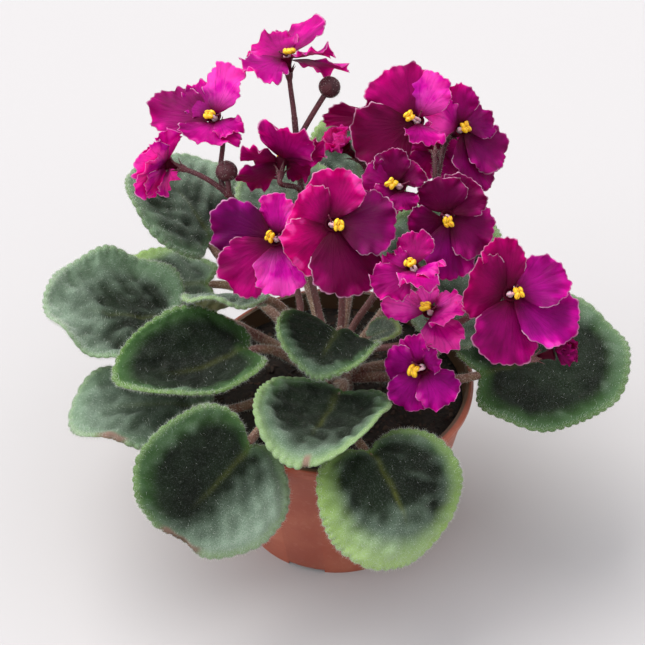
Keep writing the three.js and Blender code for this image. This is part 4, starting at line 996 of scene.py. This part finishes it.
for number, bloom in enumerate(BLOOMS):
    rng = random.Random(BLOOM_SEED + number)
    axes = bloom_axes(bloom)
    bm = bmesh.new()
    layers = {mark: bm.verts.layers.float.new(mark) for mark in PETAL_MARKS}
    for petal, tone, painted_light in zip(bloom["petals"], bloom["tone"], bloom["glow"]):
        add_petal(bm, layers, bloom, axes, petal, draw_ruffling(rng), tone, painted_light)
    corolla = finish_corolla(bm, layers, bloom, axes)
    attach(corolla, "root")
    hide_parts(bloom["name"])

# ANTHERS
# The only yellow in each bloom: two waxy anthers, each of two plump pollen sacs with a slit between, held
# close together on short pale filaments that grow from the throat. A thin wine-red style leans out from
# behind them.
ANTHER_RADIUS = 1.5
SAC_SIZE = (1.15, 1.7, 1.35)
SAC_SHIFT = 0.95
SLIT_WIDTH = 0.16
SLIT_DEPTH = 0.16
FILAMENT_RADII = (0.75, 0.6)
FILAMENT_STEPS = 10
STYLE_RADII = (0.5, 0.28)
THROAT_CUSHION = 1.5
ANTHER_SEED = 200

# Pollen sac: a thin waxy skin, full yellow, a little deeper in patches of 1 mm and brown along its slit.
pollen_sac, tree, place = new_finish("waxy_anther")
speck = add_node(tree, "ShaderNodeTexNoise", {"Vector": place, "Scale": 900, "Detail": 2})
patch = add_node(tree, "ShaderNodeMapRange", {"Value": speck, "From Min": 0.35, "From Max": 0.7})
slit = add_node(tree, "ShaderNodeAttribute", attribute_name="slit").outputs["Fac"]
shade = add_node(tree, "ShaderNodeMixRGB", {"Fac": patch, "Color1": srgb("e2a60c"), "Color2": srgb("fbd52c")})
shade = add_node(tree, "ShaderNodeMixRGB", {"Fac": slit, "Color1": shade, "Color2": srgb("9a5a10")})
bump = add_node(tree, "ShaderNodeBump", {"Height": speck, "Strength": 0.2, "Distance": 0.0002})
skin = add_node(tree, "ShaderNodeBsdfPrincipled",
                {"Base Color": shade, "Roughness": 0.42, "IOR": 1.45, "Subsurface Weight": 0.25,
                 "Subsurface Radius": (1.0, 0.7, 0.1), "Subsurface Scale": 0.001, "Normal": bump})
add_node(tree, "ShaderNodeOutputMaterial", {"Surface": skin})

# Filament and style: moist translucent tissue, pale with pink patches of 2 mm; the style is wine red.
filament_tissue, tree, place = new_finish("pale_filament")
tint = add_node(tree, "ShaderNodeTexNoise", {"Vector": place, "Scale": 500, "Detail": 3})
style = add_node(tree, "ShaderNodeAttribute", attribute_name="style").outputs["Fac"]
shade = add_node(tree, "ShaderNodeMixRGB", {"Fac": tint, "Color1": srgb("e9d2d6"), "Color2": srgb("b0657f")})
shade = add_node(tree, "ShaderNodeMixRGB", {"Fac": style, "Color1": shade, "Color2": srgb("5e1638")})
skin = add_node(tree, "ShaderNodeBsdfPrincipled",
                {"Base Color": shade, "Roughness": 0.5, "IOR": 1.4, "Subsurface Weight": 0.3,
                 "Subsurface Scale": 0.001})
add_node(tree, "ShaderNodeOutputMaterial", {"Surface": skin})


def build_anthers(bloom, number):
    """A bloom's pollen sacs, and as a second piece its filaments with the style between them."""
    rng = random.Random(number)
    right, top, out = bloom_axes(bloom)
    name = bloom["name"].replace("bloom", "anthers")
    to_right, to_top = bloom["anthers"]
    middle = (Vector(bloom["at"]) + right * to_right + top * to_top
              + out * (THROAT_HEIGHT + 0.3 + ANTHER_RADIUS))
    roll = rng.uniform(-1.2, 1.2)
    bm = bmesh.new()
    slit = bm.verts.layers.float.new("slit")
    for side in (-1, 1):
        for end in (-1, 1):
            sac = bmesh.ops.create_icosphere(bm, subdivisions=3, radius=1)["verts"]
            size, lean, rise = rng.uniform(0.8, 1.12), rng.uniform(-0.6, 0.6), rng.uniform(-0.5, 0.6)
            for vert in sac:
                x, y, z = vert.co
                groove = math.exp(-(((x + 0.3 * side) / SLIT_WIDTH) ** 2)) * (z > -0.2)
                vert[slit] = 0.8 * groove
                plump = size * (1 - SLIT_DEPTH * groove + 0.08 * noise.noise(vert.co * 1.7 + middle))
                x, y, z = x * SAC_SIZE[0] * plump, y * SAC_SIZE[1] * plump, z * SAC_SIZE[2] * plump
                x, y = x * math.cos(lean) - y * math.sin(lean), x * math.sin(lean) + y * math.cos(lean)
                x += side * ANTHER_RADIUS * 0.65
                y += end * SAC_SHIFT
                vert.co = (middle + right * (x * math.cos(roll) - y * math.sin(roll))
                           + top * (x * math.sin(roll) + y * math.cos(roll)) + out * (z + rise))
    sacs = as_object(name + "_sacs", bm, pollen_sac)
    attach(sacs, "root")
    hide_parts(name)
    throat = Vector(bloom["at"]) - out * 0.9
    lines = []
    for side in (-1, 1):
        start = throat + right * side * 0.9
        end = middle + right * side * 1.1 - out * 0.5
        bulge = start.lerp(end, 0.5) + out * 1.2 - (right * to_right + top * to_top) * 0.6
        points = cubic(start, start.lerp(bulge, 0.7), bulge, end, FILAMENT_STEPS)
        lines.append(tapered(points, *FILAMENT_RADII))
    lean = (right * rng.uniform(-0.8, 1) + top * rng.uniform(0.1, 0.9)).normalized()
    start = throat - lean * 0.3
    tip = start + lean * rng.uniform(3, 5) + out * 4.6
    style = tapered(cubic(start, start + out * 2.4, tip - lean - out, tip, FILAMENT_STEPS), *STYLE_RADII)
    style += [(tip + out * 0.15, 0.42), (tip + out * 0.45, 0.4), (tip + out * 0.6, 0.15)]
    bm = bmesh.new()
    take_in(bm, tubes([style], 2))
    dark = bm.verts.layers.float.new("style")
    for vert in bm.verts:
        vert[dark] = 1
    take_in(bm, tubes(lines, 2))
    cushion = Matrix.Translation(throat + out * 0.4)
    bmesh.ops.create_icosphere(bm, subdivisions=2, radius=THROAT_CUSHION, matrix=cushion)
    filaments = as_object(name + "_filaments", bm, filament_tissue)
    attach(filaments, "root")


for number, bloom in enumerate(BLOOMS):
    build_anthers(bloom, ANTHER_SEED + number)

# HALF-OPEN BLOOMS
# Two flowers that have not unfolded yet. They are of the same thin tissue as the open ones and as one body:
# five petals grown on a short tube, which still overlap round the middle in a blunt cup.
HALF_OPEN_SEED = 300
HALF_OPEN_PETALS = 5
HALF_OPEN_CURL = 0.7
HALF_OPEN_DOME = -1.3
HALF_OPEN_TONE = 0.5
# glow: the painted light on its petals, as for the open blooms.
OPENING = [
    dict(name="opening_1", at=(89, -26, 118), facing=(0, 20), glow=0.1),
    dict(name="opening_2", at=(4, 50, 167), facing=(-176, 50), glow=1.0),
]
for number, bloom in enumerate(OPENING):
    rng = random.Random(HALF_OPEN_SEED + number)
    axes = bloom_axes(bloom)
    bm = bmesh.new()
    layers = {mark: bm.verts.layers.float.new(mark) for mark in PETAL_MARKS}
    for k in range(HALF_OPEN_PETALS):
        angle = 360 / HALF_OPEN_PETALS * k + rng.uniform(-8, 8)
        petal = (angle, rng.uniform(10, 11.5), 10.5, 62 + 6 * (k % 2))
        turns, _, _, pleats = draw_ruffling(rng)
        ruffling = (turns, HALF_OPEN_CURL, HALF_OPEN_DOME, pleats)
        add_petal(bm, layers, bloom, axes, petal, ruffling, HALF_OPEN_TONE, bloom["glow"])
    # Folded in, the petals hardly show their pale edge, so the rim's mark ends just past where it starts.
    for vert in bm.verts:
        vert[layers["rim"]] *= PALE_RIM + 0.006
    cup = finish_corolla(bm, layers, bloom, axes)
    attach(cup, "root")
    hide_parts(bloom["name"])

# FLOWER STALKS
# Five fleshy peduncles that rise from the crown and branch into a pedicel for every bloom. Each pedicel
# ends in a calyx of five narrow sepals; closed buds and small bracts sit on them. Burgundy, hairy all over.
STALK_RADIUS = 1.7
PEDICEL_RADIUS = 1.2
STALK_RING = 4.5
STALK_STEPS = 8
PEDICEL_STEPS = 14
BUD_STEPS = 8
CALYX_LENGTH = 4
SEPAL_COUNT = 5
SEPAL_LENGTH = 7.0
SEPAL_WIDTH = 2.2
BRACT_WIDTH = 1.9
STALK_SEED = 400
# Side shoots leave a little below the peduncle's tip, so that they start inside it.
LAST_SHOOT = 0.98

# foot: where round the crown it starts, in degrees; path: points along it; pedicels: [share of its length,
# bloom]; buds: [share of its length, where the bud is, radius]; bracts: shares of its length.
STALKS = [
    dict(name="stalk_left", foot=205, path=[(-15, 5, 103), (-16, 14, 113), (-26, 27, 133), (-47, 38, 152)],
         pedicels=[(1, "bloom_1"), (1, "bloom_2")], buds=[(1, (-47, 44, 159), 5)], bracts=[0.97]),
    dict(name="stalk_top", foot=150, path=[(-7, 12, 104), (-12, 24, 125), (-15, 41, 150), (-18, 60, 176)],
         pedicels=[(0.7, "bloom_4"), (1, "bloom_3")], buds=[(0.92, (-3, 69, 185), 5)], bracts=[0.9, 0.7]),
    dict(name="stalk_middle", foot=95, path=[(2, 8, 104), (3, 16, 125), (8, 24, 143)], buds=[], bracts=[0.97],
         pedicels=[(0.8, "bloom_5"), (0.9, "bloom_6"), (1, "bloom_9"), (1, "bloom_7"), (1, "opening_2")]),
    dict(name="stalk_right", foot=40, path=[(7, 6, 104), (16, 8, 120), (28, 18, 136), (38, 32, 145)], buds=[],
         pedicels=[(0.6, "bloom_11"), (0.9, "bloom_10"), (1, "bloom_8"), (1, "bloom_15")], bracts=[0.9]),
    dict(name="stalk_low", foot=-20, path=[(15, -8, 104), (31, -9, 108), (47, -8, 116), (60, -6, 124)],
         pedicels=[(0.5, "bloom_13"), (0.6, "bloom_14"), (1, "bloom_12"), (1, "opening_1")], buds=[],
         bracts=[0.6]),
]

# Peduncle tissue: fleshy and satin burgundy, streaked every 9 mm or so, and paler toward the crown. Hair
# bases give the eye a faint grain; they are drawn 0.7 mm apart so that they still show.
PALE_BELOW = 95
DARK_ABOVE = 135
stalk_tissue, tree, place = new_finish("burgundy_stalk")
streak = add_node(tree, "ShaderNodeTexNoise", {"Vector": place, "Scale": 110, "Detail": 4, "Roughness": 0.6})
fleck = add_node(tree, "ShaderNodeTexNoise", {"Vector": place, "Scale": 1500, "Detail": 2})
height = add_node(tree, "ShaderNodeSeparateXYZ", {"Vector": place})
low = add_node(tree, "ShaderNodeMapRange",
               {"Value": height.outputs["Z"], "From Min": DARK_ABOVE * MM, "From Max": PALE_BELOW * MM})
patch = add_node(tree, "ShaderNodeMapRange", {"Value": streak, "From Min": 0.35, "From Max": 0.7})
shade = add_node(tree, "ShaderNodeMixRGB", {"Fac": patch, "Color1": srgb("38121b"), "Color2": srgb("602a32")})
shade = add_node(tree, "ShaderNodeMixRGB", {"Fac": low, "Color1": shade, "Color2": srgb("86605a")})
light = add_node(tree, "ShaderNodeMapRange",
                 {"Value": fleck, "From Min": 0.54, "From Max": 0.78, "To Max": 0.12})
shade = add_node(tree, "ShaderNodeMixRGB", {"Fac": light, "Color1": shade, "Color2": srgb("b99aa0")})
bump = add_node(tree, "ShaderNodeBump", {"Height": fleck, "Strength": 0.6, "Distance": 0.0003})
skin = add_node(tree, "ShaderNodeBsdfPrincipled",
                {"Base Color": shade, "Roughness": 0.55, "IOR": 1.4, "Subsurface Weight": 0.12,
                 "Subsurface Radius": (1.0, 0.3, 0.25), "Subsurface Scale": 0.002, "Sheen Weight": 0.06,
                 "Sheen Roughness": 0.4, "Sheen Tint": srgb("e6ccd2"), "Normal": bump})
add_node(tree, "ShaderNodeOutputMaterial", {"Surface": skin})


def blend(a, b, start, end, t):
    """The mix of two points at t, which is start at the first and end at the second."""
    return a * ((end - t) / (end - start)) + b * ((t - start) / (end - start))


def smooth_path(points):
    """Points along a smooth line through the given ones, spaced by how far apart they are."""
    ends = [points[0] * 2 - points[1]] + points + [points[-1] * 2 - points[-2]]
    path = []
    for a, b, c, d in zip(ends, ends[1:], ends[2:], ends[3:]):
        ta = 0.0
        tb = ta + (b - a).length ** 0.5
        tc = tb + (c - b).length ** 0.5
        td = tc + (d - c).length ** 0.5
        for k in range(STALK_STEPS):
            t = tb + (tc - tb) * k / STALK_STEPS
            ab, bc, cd = blend(a, b, ta, tb, t), blend(b, c, tb, tc, t), blend(c, d, tc, td, t)
            abc, bcd = blend(ab, bc, ta, tc, t), blend(bc, cd, tb, td, t)
            path.append(blend(abc, bcd, tb, tc, t))
    return path + [points[-1].copy()]


def at_share(path, share):
    """The point, and the way on, where a side shoot leaves a path at a share of its length."""
    spans = [(b - a).length for a, b in zip(path, path[1:])]
    left = share * LAST_SHOOT * sum(spans)
    for a, b, span in zip(path, path[1:], spans):
        if left <= span:
            return a.lerp(b, left / span), (b - a).normalized()
        left -= span
    return path[-1].copy(), (path[-1] - path[-2]).normalized()


def add_sepal(bm, base, forward, outward, length, width):
    """A narrow fleshy leaflet that leaves its base forward and bends outward to a point."""
    sideways = forward.cross(outward).normalized()
    for vert in bmesh.ops.create_icosphere(bm, subdivisions=2, radius=1)["verts"]:
        x, y, z = vert.co
        share = (z + 1) / 2
        slim = width / 2 * (1 - 0.75 * share ** 1.6)
        away = outward * (0.9 + 0.45 * length * share ** 2 + y * 0.32 * (1 - 0.5 * share))
        vert.co = base + forward * (share * length * 0.82) + away + sideways * (x * slim)


def add_bud(bm, middle, forward, radius):
    """A closed bud: a ball with the seams of five petals."""
    turn = forward.to_track_quat("Z", "Y").to_matrix()
    for vert in bmesh.ops.create_icosphere(bm, subdivisions=4, radius=1)["verts"]:
        x, y, z = vert.co
        seam = abs(math.sin(2.5 * math.atan2(y, x))) ** 0.35
        fold = radius * (0.9 + 0.1 * seam * (1 - z * z * 0.5)) * (1 + 0.1 * max(0, z) ** 3)
        vert.co = middle + turn @ Vector((x * fold * 0.97, y * fold * 0.97, z * fold * 0.93))


STALK_HAIRS_PER_CM2 = 55
STALK_HAIR_SEED = 500
for number, stalk in enumerate(STALKS):
    rng = random.Random(STALK_SEED + number)
    foot = direction(stalk["foot"], 0) * STALK_RING + Vector((0, 0, CROWN_TOP - 1))
    above = foot + Vector((0, 0, 6.3))
    path = smooth_path([foot, above] + [Vector(point) for point in stalk["path"]])
    lines = [tapered(path, STALK_RADIUS, STALK_RADIUS * 0.8)]
    bm = bmesh.new()
    for share, name in stalk["pedicels"]:
        bloom = next(one for one in BLOOMS + OPENING if one["name"] == name)
        right, top, out = bloom_axes(bloom)
        start, onward = at_share(path, share)
        end = Vector(bloom["at"]) - out * (TUBE_LENGTH + CALYX_LENGTH - 0.1)
        distance = (end - start).length
        points = cubic(start, start + onward * (distance * 0.4), end - out * (distance * 0.35), end,
                       PEDICEL_STEPS)
        line = tapered(points, PEDICEL_RADIUS, PEDICEL_RADIUS * 0.9)
        lines.append(line + [(end + out * 1.2, 1.5), (end + out * 2.8, 1.75), (end + out * 4.0, 1.5)])
        spin = rng.uniform(0, 1.2)
        for k in range(SEPAL_COUNT):
            a = spin + k * 2 * math.pi / SEPAL_COUNT
            outward = right * math.cos(a) + top * math.sin(a)
            length = SEPAL_LENGTH * rng.uniform(0.85, 1.1)
            add_sepal(bm, end + out * 1.0, out, outward, length, SEPAL_WIDTH)
    for share, place, radius in stalk["buds"]:
        start, _ = at_share(path, share)
        end = Vector(place)
        middle = start.lerp(end, 0.5) + Vector((0, 0, 1.5))
        points = cubic(start, start.lerp(middle, 0.67), end.lerp(middle, 0.67), end, BUD_STEPS)
        lines.append(tapered(points, PEDICEL_RADIUS, PEDICEL_RADIUS))
        add_bud(bm, end, (end - middle).normalized(), radius)
    for share in stalk["bracts"]:
        start, onward = at_share(path, share)
        for k in range(3):
            outward = direction(rng.uniform(0, 360), 0)
            outward = (outward - onward * outward.dot(onward)).normalized()
            add_sepal(bm, start - onward * 0.5, onward, outward, rng.uniform(5, 7.5), BRACT_WIDTH)
    take_in(bm, tubes(lines))
    stem = as_object(stalk["name"] + "_stem", bm, stalk_tissue)
    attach(stem, "root")
    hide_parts(stalk["name"])
    fuzz = scatter(stalk["name"] + "_hairs", stem, hair, STALK_HAIRS_PER_CM2, STALK_HAIR_SEED + number,
                   lean=0.45, size=(0.4, 0.95), long_axis=True)
    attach(fuzz, "root")
bpy.data.objects.remove(hair)

# STAGE
# A plain pale floor, soft light from high behind the left with its shadow to the lower right, a weak fill,
# and the camera where the photograph was taken from.
FLOOR_HALF_WIDTH = 6000

# Matt paint, pale grey, with a hardly visible cloudiness over half a metre.
floor_paint, tree, place = new_finish("pale_floor")
cloud = add_node(tree, "ShaderNodeTexNoise", {"Vector": place, "Scale": 2, "Detail": 2})
shade = add_node(tree, "ShaderNodeMixRGB", {"Fac": cloud, "Color1": srgb("b1afb0"), "Color2": srgb("b4b2b3")})
skin = add_node(tree, "ShaderNodeBsdfPrincipled", {"Base Color": shade, "Roughness": 0.8})
add_node(tree, "ShaderNodeOutputMaterial", {"Surface": skin})
bm = bmesh.new()
bmesh.ops.create_grid(bm, x_segments=4, y_segments=4, size=FLOOR_HALF_WIDTH)
floor = as_object("floor", bm, floor_paint)

world = bpy.data.worlds.new("studio")
world.use_nodes = True
air = world.node_tree.nodes["Background"]
air.inputs["Color"].default_value = srgb("f2f3f6")
air.inputs["Strength"].default_value = 0.75
bpy.context.scene.world = world


def add_sun(name, azimuth, elevation, strength, spread, colour):
    """A distant lamp that shines from this azimuth and elevation."""
    sun = bpy.data.lights.new(name, "SUN")
    sun.energy = strength
    sun.angle = math.radians(spread)
    sun.color = srgb(colour)[:3]
    lamp = bpy.data.objects.new(name, sun)
    lamp.rotation_euler = direction(azimuth, elevation).to_track_quat("Z", "Y").to_euler()
    bpy.context.scene.collection.objects.link(lamp)


add_sun("key", 138, 58, 2.9, 48, "fffcf8")
add_sun("sky", 120, 75, 0.8, 100, "fafbff")
add_sun("window", 195, 28, 1.3, 50, "fbfcff")
add_sun("room", -30, 32, 0.7, 90, "fffdfb")

# The lens is given by how many pixels of the photograph its focal length spans.
CAMERA_TARGET = Vector((-0.006, 0, 0.112))
CAMERA_DISTANCE = 0.85
CAMERA_AZIMUTH = -90
CAMERA_ELEVATION = 42
SENSOR_WIDTH = 36
PHOTO_WIDTH_PIXELS = 645
PHOTO_FOCAL_PIXELS = 1995
camera = bpy.data.cameras.new("camera")
camera.sensor_width = SENSOR_WIDTH
camera.lens = PHOTO_FOCAL_PIXELS / PHOTO_WIDTH_PIXELS * SENSOR_WIDTH
viewer = bpy.data.objects.new("camera", camera)
toward = direction(CAMERA_AZIMUTH, CAMERA_ELEVATION)
viewer.location = CAMERA_TARGET + toward * CAMERA_DISTANCE
viewer.rotation_euler = toward.to_track_quat("Z", "Y").to_euler()
bpy.context.scene.collection.objects.link(viewer)
bpy.context.scene.camera = viewer
bpy.context.scene.view_settings.view_transform = "Standard"
